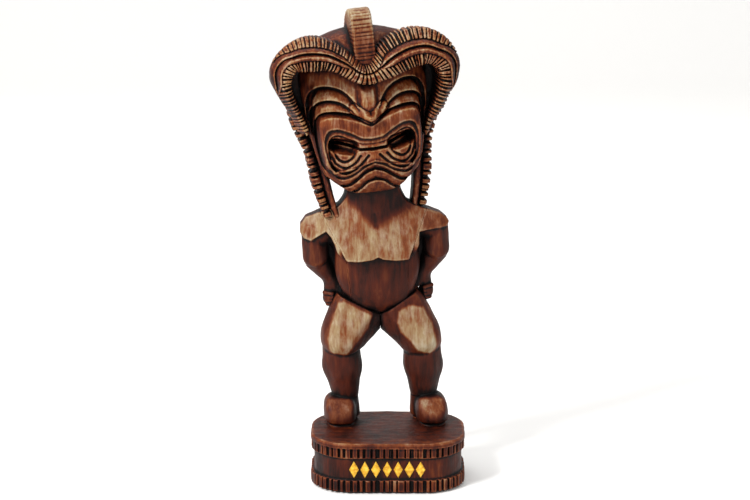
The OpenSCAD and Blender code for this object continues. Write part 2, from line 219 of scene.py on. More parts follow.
@dataclass
class Lattice:
    """Regular lattice of sample points in a piece's frame."""

    low: Point
    high: Point
    step: float

    def __post_init__(self) -> None:
        """Lays out the three axes so that they broadcast against each other."""
        step = self.step
        x, y, z = (np.arange(a, b + step, step, dtype=np.float32) for a, b in zip(self.low, self.high))
        self.x, self.y, self.z = x[:, None, None], y[None, :, None], z[None, None, :]

    def pebble(self, centre: Point, radii: Point) -> Array:
        """Field of an ellipsoid.

        Args:
            centre: its middle.
            radii: its half lengths along the axes.

        Returns:
            The field, close to the distance near the surface.
        """
        q = [(a - c) / r for a, c, r in zip((self.x, self.y, self.z), centre, radii)]
        g = [b / r for b, r in zip(q, radii)]
        k = np.sqrt(q[0] ** 2 + q[1] ** 2 + q[2] ** 2)
        return k * (k - 1) / np.maximum(np.sqrt(g[0] ** 2 + g[1] ** 2 + g[2] ** 2), 1e-6)

    def limb(self, a: Point, b: Point, ra: float, rb: float, flat: float = 1.0) -> Array:
        """Field of a limb that tapers between two points.

        Args:
            a: middle of the first end.
            b: middle of the second end.
            ra: radius at the first end.
            rb: radius at the second end.
            flat: depth of its section over its width.

        Returns:
            The field.
        """
        d = [q - p for p, q in zip(a, b)]
        d[1] /= flat
        px, py, pz = self.x - a[0], (self.y - a[1]) / flat, self.z - a[2]
        t = np.clip((px * d[0] + py * d[1] + pz * d[2]) / sum(c * c for c in d), 0, 1)
        r = np.sqrt((px - t * d[0]) ** 2 + (py - t * d[1]) ** 2 + (pz - t * d[2]) ** 2)
        return (r - (ra + (rb - ra) * t)) * min(1.0, flat)

    def facet(self, point: Point, normal: Point) -> Array:
        """Field of the half-space behind a plane."""
        n = np.asarray(normal, float) / np.linalg.norm(normal)
        return (self.x - point[0]) * n[0] + (self.y - point[1]) * n[1] + (self.z - point[2]) * n[2]

    def front(self) -> tuple[Array, Array]:
        """The lattice's x and z as a flat map seen from the front."""
        return self.x[:, 0, :], self.z[:, 0, :]


def spread(flat_map: Array) -> Array:
    """Stretches a front map through the lattice's depth."""
    return flat_map[:, None, :]


# ---------- noise ----------

def scramble(cell: Array, seed: int) -> Array:
    """Hashes integer cells into repeatable random numbers.

    Args:
        cell: the cells as rows.
        seed: picks the pattern.

    Returns:
        Three numbers from 0 to 1 for each cell.
    """
    k = cell.astype(np.int64) @ CELL_PRIMES + seed * SEED_PRIME
    out = []
    for salt in SALTS:
        h = (k * salt) & WORD
        h = ((h ^ (h >> 15)) * MIX_PRIME) & WORD
        out.append(((h ^ (h >> 13)) & FRACTION) / float(FRACTION + 1))
    return np.stack(out, -1)


def scoops(p: Array, size: Point, seed: int) -> Array:
    """Overlapping gouge scoops: 0 at each scoop's bottom, up to about 1 on the ridges between.

    Args:
        p: points as rows.
        size: length of a scoop along each axis.
        seed: picks the pattern.

    Returns:
        The height at each point.
    """
    q = p / np.asarray(size)
    base = np.floor(q)
    best = np.full(len(p), 9.0)
    for dx in (-1, 0, 1):
        for dy in (-1, 0, 1):
            for dz in (-1, 0, 1):
                cell = base + (dx, dy, dz)
                best = np.minimum(best, ((cell + scramble(cell, seed) - q) ** 2).sum(1))
    return np.minimum(best, 1.0)


def drift(p: Array, size: Point, seed: int) -> Array:
    """Smooth noise from -1 to 1.

    Args:
        p: points as rows.
        size: length of a wave along each axis.
        seed: picks the pattern.

    Returns:
        The noise at each point.
    """
    q = p / np.asarray(size)
    base = np.floor(q)
    f = q - base
    f = f * f * (3 - 2 * f)
    total = np.zeros(len(p))
    for dx in (0, 1):
        for dy in (0, 1):
            for dz in (0, 1):
                w = (f[:, 0] if dx else 1 - f[:, 0]) * (f[:, 1] if dy else 1 - f[:, 1])
                w = w * (f[:, 2] if dz else 1 - f[:, 2])
                total += w * (2 * scramble(base + (dx, dy, dz), seed)[:, 0] - 1)
    return total


# ---------- carving ----------

def rim_normals(p: Array, quads: Array) -> Array:
    """Works out smooth normals.

    Args:
        p: vertices.
        quads: faces.

    Returns:
        One unit normal a vertex.
    """
    flat = np.cross(p[quads[:, 2]] - p[quads[:, 0]], p[quads[:, 3]] - p[quads[:, 1]])
    n = np.stack([
        sum(np.bincount(quads[:, k], flat[:, axis], len(p)) for k in range(4)) for axis in range(3)
    ], -1)
    return n / np.maximum(np.linalg.norm(n, axis=1, keepdims=True), 1e-12)


def edges_of(quads: Array) -> Array:
    """Each edge of a quad mesh, both ways round."""
    e = np.vstack([quads[:, [k, (k + 1) % 4]] for k in range(4)])
    return np.vstack([e, e[:, ::-1]])


def soften(values: Array, edges: Array, rounds: int) -> Array:
    """Averages each vertex's value with its neighbours', several times over.

    Args:
        values: a number or a row for each vertex.
        edges: the mesh's edges, both ways round.
        rounds: number of times.

    Returns:
        The averaged values.
    """
    count = np.maximum(np.bincount(edges[:, 0], minlength=len(values)), 1)
    for _ in range(rounds):
        if values.ndim == 1:
            values = np.bincount(edges[:, 0], values[edges[:, 1]], len(values)) / count
        else:
            values = np.stack([
                np.bincount(edges[:, 0], values[edges[:, 1], k], len(values)) / count
                for k in range(values.shape[1])
            ], -1)
    return values


def largest_part(p: Array, quads: Array) -> tuple[Array, Array]:
    """Drops every loose crumb of a mesh.

    Args:
        p: vertices.
        quads: faces.

    Returns:
        The vertices and faces of the largest connected part.
    """
    label = np.arange(len(p))
    e = edges_of(quads)
    while True:
        new = label.copy()
        np.minimum.at(new, e[:, 0], label[e[:, 1]])
        new = new[new]
        new = new[new]
        if (new == label).all():
            break
        label = new
    keep = label == np.bincount(label).argmax()
    index = np.cumsum(keep) - 1
    return p[keep], index[quads[keep[quads].all(1)]]


@dataclass
class Marks:
    """What the dressing of a piece reads at each vertex, each from 0 to 1."""

    # The first mark is dark stain in the grooves together with painted shade where neighbouring pieces close
    # in. The last is rubbed-back stain with painted light and shade laid on it.
    stain_and_shade: Array
    worn: Array
    pale: Array


@dataclass(frozen=True)
class Reading:
    """How strongly a surface's shape counts in its marks, for dips and rises measured in lattice steps."""

    fine_rounds: int = 3
    broad_rounds: int = 14
    fine_dip: float = 5.5
    broad_dip: float = 1.3
    # The shut values set how much painted shade the places closed in by neighbouring pieces take: darker,
    # with dimmed rubbed edges and less paleness.
    shut_shade: float = 0.9
    fine_rise: float = 3.2
    broad_rise: float = 0.9
    unworn: float = 0.28
    shut_dims_wear: float = 0.7
    shut_dark: float = 0.8


@dataclass
class Carving:
    """A wooden piece carved as a field."""

    name: str
    nodes: tuple[str, ...]
    slot: str
    frame: Frame
    low: Point
    high: Point
    side: int = 1
    step: float = 0.5
    gouge: Point = (4.5, 4.5, 11.0)
    gouge_depth: float = 0.3
    seed: int = 1
    reading: Reading = Reading()

    def shape(self, g: Lattice) -> Array:
        """Field of the piece on a lattice. A piece on the figure's right is shaped as its mirror image."""
        raise NotImplementedError

    def pale(self, p: Array, n: Array) -> Array:
        """How far the stain has been rubbed back, with painted light and shade laid on it, for points and
        normals in the piece's frame.
        """
        raise NotImplementedError

    def mesh(self) -> tuple[Array, Array]:
        """Meshes the field.

        Returns:
            Vertices in the piece's frame, on its own side, and quads that face outwards.
        """
        g = Lattice(self.low, self.high, self.step)
        d = np.clip(self.shape(g) / self.step, -BAND, BAND).astype(np.float32)
        grid = vdb.FloatGrid(BAND)
        grid.copyFromArray(np.ascontiguousarray(d))
        p, quads = grid.convertToQuads(0.0)
        p, quads = largest_part(p.astype(float) * self.step + self.low, quads.astype(np.int64))
        if self.side < 0:
            p[:, 0] *= -1
            quads = quads[:, ::-1]
        return p, quads

    def carve(self, around: "Surroundings") -> bpy.types.Object:
        """Meshes, tools and marks the piece, and adds it to the scene.

        Args:
            around: the fields of the neighbouring pieces.

        Returns:
            The new object, in the row frame.
        """
        p, quads = self.mesh()
        n = rim_normals(p, quads)
        tool = scoops(p, self.gouge, self.seed) - 0.3 + 0.25 * drift(p, (9, 9, 16), self.seed + 5)
        p = p + n * (self.gouge_depth * tool)[:, None]
        n = rim_normals(p, quads)
        edges = edges_of(quads)
        read, step = self.reading, self.step
        fine = ((soften(p, edges, read.fine_rounds) - p) * n).sum(1)
        broad = ((soften(p, edges, read.broad_rounds) - p) * n).sum(1)
        # Painted shade: where neighbouring pieces close a point in, the point is darkened, its rubbed edges
        # are dimmed and its paleness is lowered.
        shut = around.shut(p, n)
        # Dark stain gathered in the grooves, with painted shade added where the pieces close in.
        stain_and_shade = np.clip(read.fine_dip * fine / step + read.broad_dip * broad / step, 0, 1)
        stain_and_shade = np.clip(stain_and_shade + read.shut_shade * shut, 0, 1)
        worn = np.clip(-read.fine_rise * fine / step - read.broad_rise * broad / step - read.unworn, 0, 1)
        pale = np.clip(self.pale(p, n), 0, 1)
        marks = Marks(stain_and_shade, worn * (1 - read.shut_dims_wear * shut), pale * (1 - read.shut_dark * shut))
        return self.add(p, quads, marks)

    def add(self, p: Array, quads: Array, marks: Marks) -> bpy.types.Object:
        """Makes the Blender object from finished vertices.

        Args:
            p: vertices in the piece's frame.
            quads: faces.
            marks: the dressing's vertex values.

        Returns:
            The new object.
        """
        mesh = bpy.data.meshes.new(self.name)
        mesh.vertices.add(len(p))
        mesh.vertices.foreach_set("co", (self.frame.to_row(p) * MM).astype(np.float32).ravel())
        mesh.loops.add(quads.size)
        mesh.loops.foreach_set("vertex_index", quads.astype(np.int32).ravel())
        mesh.polygons.add(len(quads))
        mesh.polygons.foreach_set("loop_start", np.arange(0, quads.size, 4, dtype=np.int32))
        mesh.update(calc_edges=True)
        mesh.validate()
        mesh.shade_smooth()
        for name, values in vars(marks).items():
            layer = mesh.attributes.new(name, "FLOAT", "POINT")
            layer.data.foreach_set("value", values.astype(np.float32))
        piece = bpy.data.objects.new(self.name, mesh)
        bpy.context.scene.collection.objects.link(piece)
        return piece


class Surroundings:
    """Coarse field of the pieces that share a frame, to find where they close each other in, where the
    carving paints shade.
    """

    reaches = (1.5, 3.0, 5.0, 8.0)
    gain = 1.25
    offset = 0.12

    def __init__(self, pieces: Sequence[Carving], low: Point, high: Point, step: float = 1.25) -> None:
        """Adds the pieces' fields up.

        Args:
            pieces: the pieces that share a frame.
            low: lowest corner, with x the opposite of the highest corner's.
            high: highest corner.
            step: lattice step.
        """
        self.low, self.step = np.asarray(low), step
        g = Lattice(low, high, step)
        total = np.full((g.x.size, g.y.size, g.z.size), FAR, np.float32)
        for piece in pieces:
            d = piece.shape(g)
            total = np.minimum(total, d if piece.side > 0 else d[::-1])
        self.total = total

    def sample(self, p: Array) -> Array:
        """Reads the field between the lattice's points.

        Args:
            p: points in the pieces' frame.

        Returns:
            The field at each point.
        """
        q = np.clip((p - self.low) / self.step, 0, np.array(self.total.shape) - 1.001)
        i = q.astype(int)
        f = q - i
        out = np.zeros(len(p))
        for corner in np.ndindex(2, 2, 2):
            w = np.prod([f[:, k] if c else 1 - f[:, k] for k, c in enumerate(corner)], 0)
            out += w * self.total[tuple((i + corner).T)]
        return out

    def shut(self, p: Array, n: Array) -> Array:
        """How closed in each point is, from 0 in the open to 1 in a deep corner; painted shade follows it."""
        closed = [np.clip(1 - self.sample(p + n * r) / r, 0, 1) for r in self.reaches]
        return np.clip(self.gain * np.mean(closed, 0) - self.offset, 0, 1)


# ---------- head ----------

@dataclass(frozen=True)
class Cut:
    """Section of a carved line: its depth, and how far it opens on the left and right of the line's run."""

    depth: float
    left: float
    right: float
    curve: float = 1.6

    def into(self, t: Trace) -> Array:
        """Depth of the cut over a map.

        Args:
            t: trace of the line.

        Returns:
            The depth at each map point, greatest on the line.
        """
        width = np.where(t.side > 0, self.left, self.right)
        return self.depth * np.clip(1 - t.distance / width, 0, 1) ** self.curve


def rib(t: Trace, height: float, width: float) -> Array:
    """Height of a rounded rib that follows a line."""
    return height * np.sqrt(np.clip(1 - (t.distance / width) ** 2, 0, 1))


@dataclass
class Head(Carving):
    """Face, skull and dome. The face's lines are set on its left half, and folded over to the right."""

    levels: tuple[float, ...] = (186, 188.5, 192, 196, 200, 208, 222, 235, 250, 262, 274, 284)
    half_widths: tuple[float, ...] = (10, 16, 20.5, 25, 28.5, 32, 34.8, 37.4, 39.4, 39, 36.5, 30)
    fronts: tuple[float, ...] = (-7, -11, -14, -16, -17, -18.5, -19, -18.5, -15.5, -11.5, -6, 1)
    backs: tuple[float, ...] = (8, 14, 19, 22, 24, 27, 30, 32, 33.5, 33.5, 31, 26)
    squareness: float = 3.0
    jaw: float = 187.2
    crown: float = 283.0
    dome: tuple[Point, Point] = ((0, 10, 261), (43, 23, 29.5))
    brow_top: tuple[Point, ...] = (
        (8.2, 245.5), (13.8, 252.6), (21, 256.4), (28.6, 257), (34, 254), (36.6, 248), (37, 238))
    brow_middle: tuple[Point, ...] = (
        (11, 242), (16.9, 246.6), (23.2, 248.6), (29.6, 248), (33.6, 244.5), (35.2, 238), (35, 229))
    brow_low: tuple[Point, ...] = (
        (0, 233.8), (7.6, 237.6), (14, 239.8), (21.4, 241.4), (28.4, 241), (32.2, 237.5), (33, 230),
        (32.6, 220), (30.6, 208), (26.5, 201.5))
    lip_edge: tuple[Point, ...] = (
        (0, 223.6), (6.8, 224.6), (13.5, 228.6), (20.5, 231.4), (26, 230.8), (28.6, 226.5), (29, 219),
        (27.4, 210), (24, 204.6))
    lip_inner: tuple[Point, ...] = (
        (0, 220.4), (7.7, 221.4), (14.8, 224.8), (20.6, 227.4), (25, 226), (27, 220.5), (26.6, 213.5))
    slit: tuple[Point, ...] = ((0, 217.2), (9, 217.8), (15, 220), (20, 221.6), (24.5, 222.2))
    lobe: tuple[Point, ...] = ((13.5, 219.4), (22.5, 221.4))
    cheek_rings: tuple[tuple[Point, ...], ...] = (
        ((24.6, 218.5), (22, 212.8), (18, 210.8), (13.8, 212.6), (11.5, 215)),
        ((26, 216), (23.6, 209.8), (18, 206.9), (12, 209.4), (8.4, 213.6)),
        ((27.4, 214), (25, 206.8), (19, 203.2), (12.4, 205), (7, 209.6), (3.5, 213.4)),
    )
    lower_lip: tuple[Point, ...] = (
        (27.6, 205.5), (24.5, 201.6), (19.5, 199.6), (12, 202.2), (5.5, 206.6), (0, 208.8))
    chin_top: tuple[Point, ...] = ((20, 193.5), (15.7, 195), (11, 198.4), (5.6, 202.4), (0, 204.3))
    chin_low: tuple[Point, ...] = ((13, 189.5), (9.6, 192.2), (5.4, 195.8), (0, 197.4))
    bridge: tuple[Point, ...] = ((0, 258.0), (0, 239.5))
    nostril: tuple[Point, ...] = ((0, 236.2), (4.8, 239.3), (8.8, 242.6))
    brow_top_cut: Cut = Cut(3.0, 1.1, 5.5)
    brow_middle_cut: Cut = Cut(2.8, 1.1, 4.2)
    brow_low_cut: Cut = Cut(3.0, 1.2, 1.6)
    lip_inner_cut: Cut = Cut(1.8, 0.9, 2.2)
    lip_edge_cut: Cut = Cut(1.3, 0.9, 0.8)
    cheek_cut: Cut = Cut(1.9, 1.3, 1.3)
    lower_lip_cut: Cut = Cut(1.6, 1.1, 2.2)
    chin_top_cut: Cut = Cut(2.6, 1.0, 3.0)
    chin_low_cut: Cut = Cut(2.4, 1.0, 3.0)
    muzzle_close: tuple[Point, ...] = ((0, 208), (-9, 208), (-9, 232.6))
    mouth_close: tuple[Point, ...] = ((12, 206), (0, 210), (-9, 210), (-9, 225))
    muzzle_rise: float = 3.4
    mouth_depth: float = 2.4
    lobe_depth: float = 8.0
    lobe_radius: float = 4.5
    slit_depth: float = 3.6
    slit_half: float = 0.6
    pout_rise: float = 2.2
    bridge_rise: float = 2.9
    bridge_half: float = 6.4
    nostril_rise: float = 3.6
    nostril_half: float = 3.4
    tip_rise: float = 2.6

    def carve_brows(self, h: Array, x: Array, z: Array) -> None:
        """Cuts the brow's three long lines.

        Args:
            h: height of the carving, which is changed.
            x: distance of each map point from the middle.
            z: its height on the face.
        """
        h -= self.brow_top_cut.into(trace(x, z, spline(self.brow_top)))
        h -= self.brow_middle_cut.into(trace(x, z, spline(self.brow_middle)))
        h -= self.brow_low_cut.into(trace(x, z, spline(self.brow_low))) * ease(z, 202, 209)

    def carve_mouth(self, h: Array, x: Array, z: Array) -> None:
        """Raises the muzzle, and cuts the mouth, its rings and the chin into it.

        Args:
            h: height of the carving, which is changed.
            x: distance of each map point from the middle.
            z: its height on the face.
        """
        muzzle = outline(x, z, np.vstack([spline(self.brow_low), self.muzzle_close]))
        jaw_corner = ease(x, 20, 26) * ease(211 - z, 0, 6)
        h += self.muzzle_rise * ease(-muzzle, 0, 2.6) * (1 - jaw_corner)
        mouth = outline(x, z, np.vstack([spline(self.lip_edge), self.mouth_close]))
        h -= self.mouth_depth * ease(-mouth, -0.4, 0.9)
        h -= self.lip_inner_cut.into(trace(x, z, spline(self.lip_inner))) * (0.35 + 0.65 * ease(x, 9, 17))
        h -= self.lip_edge_cut.into(trace(x, z, spline(self.lip_edge)))
        lobe = trace(x, z, np.array(self.lobe))
        h -= self.lobe_depth * ease(self.lobe_radius - lobe.distance, -1.0, 2.2)
        slit = trace(x, z, spline(self.slit))
        h -= self.slit_depth * ease(self.slit_half - slit.distance, -0.5, 0.4)
        below = ease(219.5 - z, 0, 3)
        for ring in self.cheek_rings:
            t = trace(x, z, spline(ring))
            h -= self.cheek_cut.into(t) * below * ease(t.along, 0.5, 4)
        h += self.pout_rise * (np.exp(-((x / 6.5) ** 2)) * np.exp(-(((z - 211.5) / 4.5) ** 2)))
        t = trace(x, z, spline(self.lower_lip))
        h -= self.lower_lip_cut.into(t) * ease(t.along, 2, 8)
        h -= self.chin_top_cut.into(trace(x, z, spline(self.chin_top)))
        h -= self.chin_low_cut.into(trace(x, z, spline(self.chin_low)))

    def raise_nose(self, h: Array, x: Array, z: Array) -> None:
        """Raises the nose: its bridge, its wings and its tip.

        Args:
            h: height of the carving, which is changed.
            x: distance of each map point from the middle.
            z: its height on the face.
        """
        bridge = trace(x, z, np.array(self.bridge))
        h += self.bridge_rise * ease(self.bridge_half - bridge.distance, -0.5, 3.4) * ease(261 - z, 0, 9)
        h += rib(trace(x, z, spline(self.nostril)), self.nostril_rise, self.nostril_half)
        h += self.tip_rise * np.exp(-((x / 4.5) ** 2) - ((z - 237.2) / 3.2) ** 2)

    def relief(self, g: Lattice) -> Array:
        """Height of the face's carving over the front map.

        Args:
            g: the lattice.

        Returns:
            The height, as a flat map.
        """
        x, z = g.front()
        x = np.abs(x)
        h = np.zeros(np.broadcast(x, z).shape, np.float32)
        self.carve_brows(h, x, z)
        self.carve_mouth(h, x, z)
        self.raise_nose(h, x, z)
        return h

    def shape(self, g: Lattice) -> Array:
        """Field of the head, in its own frame.

        Args:
            g: the lattice.

        Returns:
            The field: an upright squarish form with the dome and the neck's root, and the face cut into it.
        """
        z = g.z[0, 0]
        profiles = (self.half_widths, self.fronts, self.backs)
        w, f, b = (np.interp(z, self.levels, v).astype(np.float32) for v in profiles)
        mid, half = (f + b) / 2, (b - f) / 2
        power = self.squareness
        s = (np.abs(g.x / w) ** power + np.abs((g.y - mid) / half) ** power) ** (1 / power)
        d = (s - 1) * np.minimum(w, half)
        d = meet(d, self.jaw - g.z + 0.12 * (g.y + 12), 3.0)
        d = meet(d, g.z - self.crown, 6.0)
        d = join(d, g.pebble(*self.dome), 5.0)
        d = join(d, g.limb((0, 11, 196), (0, 11, 190.5), 18, 17.5, 0.78), 3.0)
        facing = ease(-(g.y - mid) / half, 0.05, 0.35) * ease(w * 1.02 - np.abs(g.x), 0, 3.5)
        d = d - spread(self.relief(g)) * facing
        flank = ease(np.abs(g.x) - 0.72 * w, 0, 5) * ease(262 - g.z, 0, 8) * ease(g.z - 196, 0, 6)
        ripples = np.sin((g.y + 0.05 * (g.z - 230)) * (2 * math.pi / 6.5))
        return d + 0.7 * flank * ripples * ease(10 - g.y, 0, 6)

    def pale(self, p: Array, n: Array) -> Array:
        """Rubbed back on the lips, brows and nose, left dark at the sides and behind. Painted light lifts the
        brow under the brim's shadow, painted shade darkens the lower face, and upward faces take painted top
        light besides their rubbing.

        Args:
            p: points in the head's frame.
            n: normals.

        Returns:
            The paleness.
        """
        front = np.clip(-n[:, 1], 0, 1) ** 1.5
        # Painted light on the brow, which lies in the brim's shadow, and painted shade on the lower face.
        brow = 0.3 * ease(p[:, 2], 234, 244) - 0.06 * ease(214 - p[:, 2], 0, 10)
        # Upward faces are paler: rubbing, with painted top light.
        return 0.15 + (0.42 + brow) * front + 0.25 * np.clip(n[:, 2], 0, 1) - 0.25 * (p[:, 1] > 0)


# ---------- headdress ----------

@dataclass
class Ribbon:
    """A carved ribbon that follows a curve seen from the front: how far along and across each point lies."""

    along: Array
    across: Array
    beyond: Array
    share: Array

    @classmethod
    def follow(cls, u: Array, v: Array, outer: Sequence[Point], inner: Sequence[Point]) -> "Ribbon":
        """Lays a ribbon between two edges.

        Args:
            u: first coordinate of each map point.
            v: second coordinate.
            outer: control points of the outer edge.
            inner: control points of the inner edge, as many.

        Returns:
            The ribbon, with across 0 at the outer edge and 1 at the inner one, beyond positive outside it,
            and share running from 0 to 1 with the control points.
        """
        a, b = spline(outer), spline(inner)
        middle = (a + b) / 2
        half = np.linalg.norm(a - b, axis=1) / 2
        runs = np.concatenate([[0], np.cumsum(np.linalg.norm(np.diff(middle, axis=0), axis=1))])
        t = trace(u, v, middle)
        width = np.interp(t.along, runs, half)
        offset = -t.side * t.distance
        share = np.interp(t.along, runs, np.linspace(0, 1, len(runs)))
        return cls(t.along, np.clip(0.5 + 0.5 * offset / width, 0, 1), t.distance - width, share)


def notches(along: Array, pitch: float, gap: float) -> Array:
    """1 in the notches of a slightly uneven row of teeth and 0 on the teeth.

    Args:
        along: distance along the row.
        pitch: spacing of the teeth.
        gap: share of the spacing that is notch.

    Returns:
        The notch strength.
    """
    phase = along / pitch + 0.12 * np.sin(along * 0.9) + 0.08 * np.sin(along * 2.3 + 1)
    saw = np.abs(phase - np.floor(phase) - 0.5) * 2
    return ease(saw, 1 - gap - 0.12, 1 - gap + 0.22)


@dataclass
class Headdress(Carving):
    """Half of the brim: two notched bands with two plain ridges between them, over a hollow."""

    outer_left: tuple[Point, ...] = (
        (-4, 270.5), (0, 270), (6.3, 271.4), (13.1, 276.4), (19.9, 281.6), (27.8, 285), (35.4, 286.6),
        (44.1, 285.8), (50.2, 282.2), (54.6, 276.7), (57, 269.5), (56.3, 261), (53.8, 252.6), (51.4, 245.4),
        (48.9, 238), (45.5, 232), (41.8, 227), (39.6, 222))
    inner_left: tuple[Point, ...] = (
        (-4, 258.4), (0, 258), (4, 258.4), (8, 259.4), (13, 261.8), (18.5, 264.4), (24.4, 266.6),
        (31.9, 267.6), (38, 266.4), (42.6, 263), (45.8, 258), (46.6, 252.4), (45.4, 247), (43.4, 242.5),
        (40.6, 237), (37.8, 232), (35, 227), (33.2, 222))
    outer_right: tuple[Point, ...] = (
        (-4, 270.5), (0, 270), (6, 272.6), (10.4, 277.6), (17.3, 282.4), (24.4, 287.2), (33.9, 289.2),
        (42.6, 288.8), (49.2, 286.4), (53.3, 282.4), (56.5, 275.2), (56.7, 268.5), (54.8, 261), (52.6, 255.4),
        (50.4, 250.4), (48, 244.6), (45.7, 238), (43.5, 231))
    inner_right: tuple[Point, ...] = (
        (-4, 258.2), (0, 258), (3.7, 259.6), (9.5, 263.4), (15.2, 267.2), (21, 269.3), (26, 270.6),
        (31.5, 272), (36.8, 272.6), (42, 271), (45.5, 267), (46.8, 262), (46.4, 257), (45.2, 252),
        (43.6, 247.5), (41.6, 243), (38.9, 236.5), (36.5, 230))
    tooth_pitch: float = 2.6
    tooth_gap: float = 0.42
    tooth_depth: float = 1.9
    outer_cut_left: float = 1.0
    outer_cut_right: float = 0.42
    rim_y: float = -15.5
    bulge: float = 10.5
    fall: float = 17.5
    web_low: float = 242.6
    web_front: float = -8.0
    web_back: float = 9.0
    hood_depth: float = 11.0
    root_back: float = 12.4
    root_top: float = 273.0

    def rows(self, r: Ribbon) -> tuple[Array, Array, Array]:
        """Places the edges of the two notched rows across the ribbon.

        The bands meet in the middle of the brow, part into four over the lobes, and end as one wide notched
        row down the sides.

        Args:
            r: the ribbon.

        Returns:
            The outer row's inner edge, the inner row's outer edge, and how far the ribbon is into its tail.
        """
        plain = ease(r.along, 10, 22)
        flank, tail = ease(r.share, 0.46, 0.6), ease(r.share, 0.64, 0.76)
        outer_edge = (0.5 - 0.2 * plain) * (1 - flank) - 0.02 * flank
        inner_edge = (0.5 + 0.17 * plain) * (1 - flank) + 0.5 * flank - 0.55 * tail
        return outer_edge, inner_edge, tail

    def bands(self, g: Lattice, r: Ribbon) -> Array:
        """Field of the bands.

        Args:
            g: the lattice.
            r: the ribbon that they follow.

        Returns:
            The field.
        """
        s, t = r.across, r.along
        outer_edge, inner_edge, tail = self.rows(r)
        on_outer, on_inner = ease(outer_edge - s, -0.02, 0.04), ease(s - inner_edge, -0.02, 0.04)
        outer_notch = notches(t * 1.25, self.tooth_pitch, self.tooth_gap)
        inner_notch = notches(t * 1.06 + 1.4, self.tooth_pitch, self.tooth_gap)
        notch = np.where(s < outer_edge, outer_notch, inner_notch)
        y = self.rim_y - self.bulge * ease(s, -0.15, 0.62) + 1.0 * ease(s, 0.85, 1.0)
        mid = (outer_edge + inner_edge) / 2
        ridges = ((0, outer_edge, 0.9), (outer_edge, mid, 1.3), (mid, inner_edge, 1.5), (inner_edge, 1, 1.0))
        for low, high, lift in ridges:
            span = np.maximum(high - low, 0.02)
            c = np.clip((s - low) / span, 0, 1)
            inside = (s >= low) & (s <= high)
            y = y - np.where(inside, lift * (4 * c * (1 - c)) ** 0.6 * np.clip(span / 0.15, 0, 1), 0)
        cut = self.outer_cut_left if self.side > 0 else self.outer_cut_right
        y = y + self.tooth_depth * notch * (cut * on_outer + on_inner)
        plain = ease(t, 10, 22)
        seam = np.exp(-(((s - mid) / 0.04) ** 2))
        crease = np.exp(-(((s - outer_edge) / 0.02) ** 2))
        y = y + (2.0 * seam + 1.2 * crease * plain) * (1 - tail)
        away = ease(r.share, 0.62, 1.0)
        y = y + self.fall * away
        edge = r.beyond + 0.9 * cut * notch * on_outer + 0.6 * notch * on_inner
        d = meet(spread(edge), spread(y) - g.y, 0.8)
        return meet(d, g.y - spread(-4 + 7.2 * away), 1.0)

    def shape(self, g: Lattice) -> Array:
        """Field of the brim's half, in the head's frame: the bands, the web behind them and the web's root.

        Args:
            g: the lattice.

        Returns:
            The field.
        """
        x, z = g.front()
        outer = self.outer_left if self.side > 0 else self.outer_right
        inner = self.inner_left if self.side > 0 else self.inner_right
        r = Ribbon.follow(x, z, outer, inner)
        over = outline(x, z, np.vstack([spline(outer), [[30, 243], [-4, 256]]]))
        over = np.maximum(over, self.web_low - z)
        hood = ease(r.beyond, -2, 3) * (r.across > 0.9)
        face = spread(self.web_front + self.hood_depth * hood) - g.y
        web = meet(meet(spread(over) + 0.6, face, 1.5), g.y - self.web_back, 2.5)
        d = join(self.bands(g, r), web, 1.2)
        d = meet(d, g.pebble((0, -20, 250), (70, 36, 50)), 2.0)
        root = meet(spread(over) + 1.0, np.maximum(-g.y, g.y - self.root_back), 3.0)
        root = meet(meet(root, g.z - self.root_top, 3.0), g.pebble((0, -20, 250), (66, 52, 60)), 2.0)
        return meet(join(d, root, 3.0), 0.1 - g.x, 0.1)

    def pale(self, p: Array, n: Array) -> Array:
        """Rubbed back on the tops and fronts of the bands; the paler tops are also painted top light."""
        # Upward faces paler: rubbing with painted top light.
        return 0.12 + 0.3 * np.clip(n[:, 2], 0, 1) + 0.3 * np.clip(-n[:, 1], 0, 1)


@dataclass
class Tress(Carving):
    """Hanging tress: a notched strand outside a smooth one."""

    outer: tuple[Point, ...] = (
        (49.6, 248), (48.6, 243), (47.2, 236), (44.8, 229), (41.4, 219), (39.6, 208), (38.6, 197), (36, 185),
        (32.2, 171.5))
    inner: tuple[Point, ...] = (
        (38.5, 248), (37.5, 243), (35.6, 235), (33, 227), (30.4, 218), (28, 208), (26.6, 197), (25.2, 185),
        (22.5, 171.5))
    tooth_pitch: float = 4.5
    tooth_gap: float = 0.46
    tooth_depth: float = 2.8
    rope_share: float = 0.56
    front: float = 3.5
    back: float = 16.5
    top: float = 243.2
    tip: float = 172.4

    def shape(self, g: Lattice) -> Array:
        """Field of the left tress, in the head's frame.

        Args:
            g: the lattice.

        Returns:
            The field.
        """
        x, z = g.front()
        r = Ribbon.follow(x, z, self.outer, self.inner)
        s, t = r.across, r.along
        notch = notches(t, self.tooth_pitch, self.tooth_gap) * (0.45 + 0.55 * ease(233 - z, 0, 4))
        rope = ease(self.rope_share - s, -0.03, 0.05)
        y = self.front - 1.8 * (4 * np.clip(s / 0.54, 0, 1) * (1 - np.clip(s / 0.54, 0, 1))) ** 0.6
        c = np.clip((s - 0.58) / 0.42, 0, 1)
        smooth = self.front + 0.3 - 2.0 * (4 * c * (1 - c)) ** 0.6
        y = np.where(s > self.rope_share, smooth, y) + self.tooth_depth * notch * rope
        y = y + 1.6 * np.exp(-(((s - self.rope_share) / 0.05) ** 2))
        edge = spread(r.beyond + 1.7 * notch * rope)
        d = meet(edge, spread(y) - g.y, 1.6)
        d = meet(d, g.y - self.back, 4.0)
        d = meet(d, g.z - self.top, 0.3)
        return meet(d, self.tip - g.z, 1.0)

    def pale(self, p: Array, n: Array) -> Array:
        """Left dark, but for the front of the teeth, and a little paler on upward faces by rubbing with
        painted top light.
        """
        return 0.05 + 0.22 * np.clip(-n[:, 1], 0, 1) + 0.15 * np.clip(n[:, 2], 0, 1)


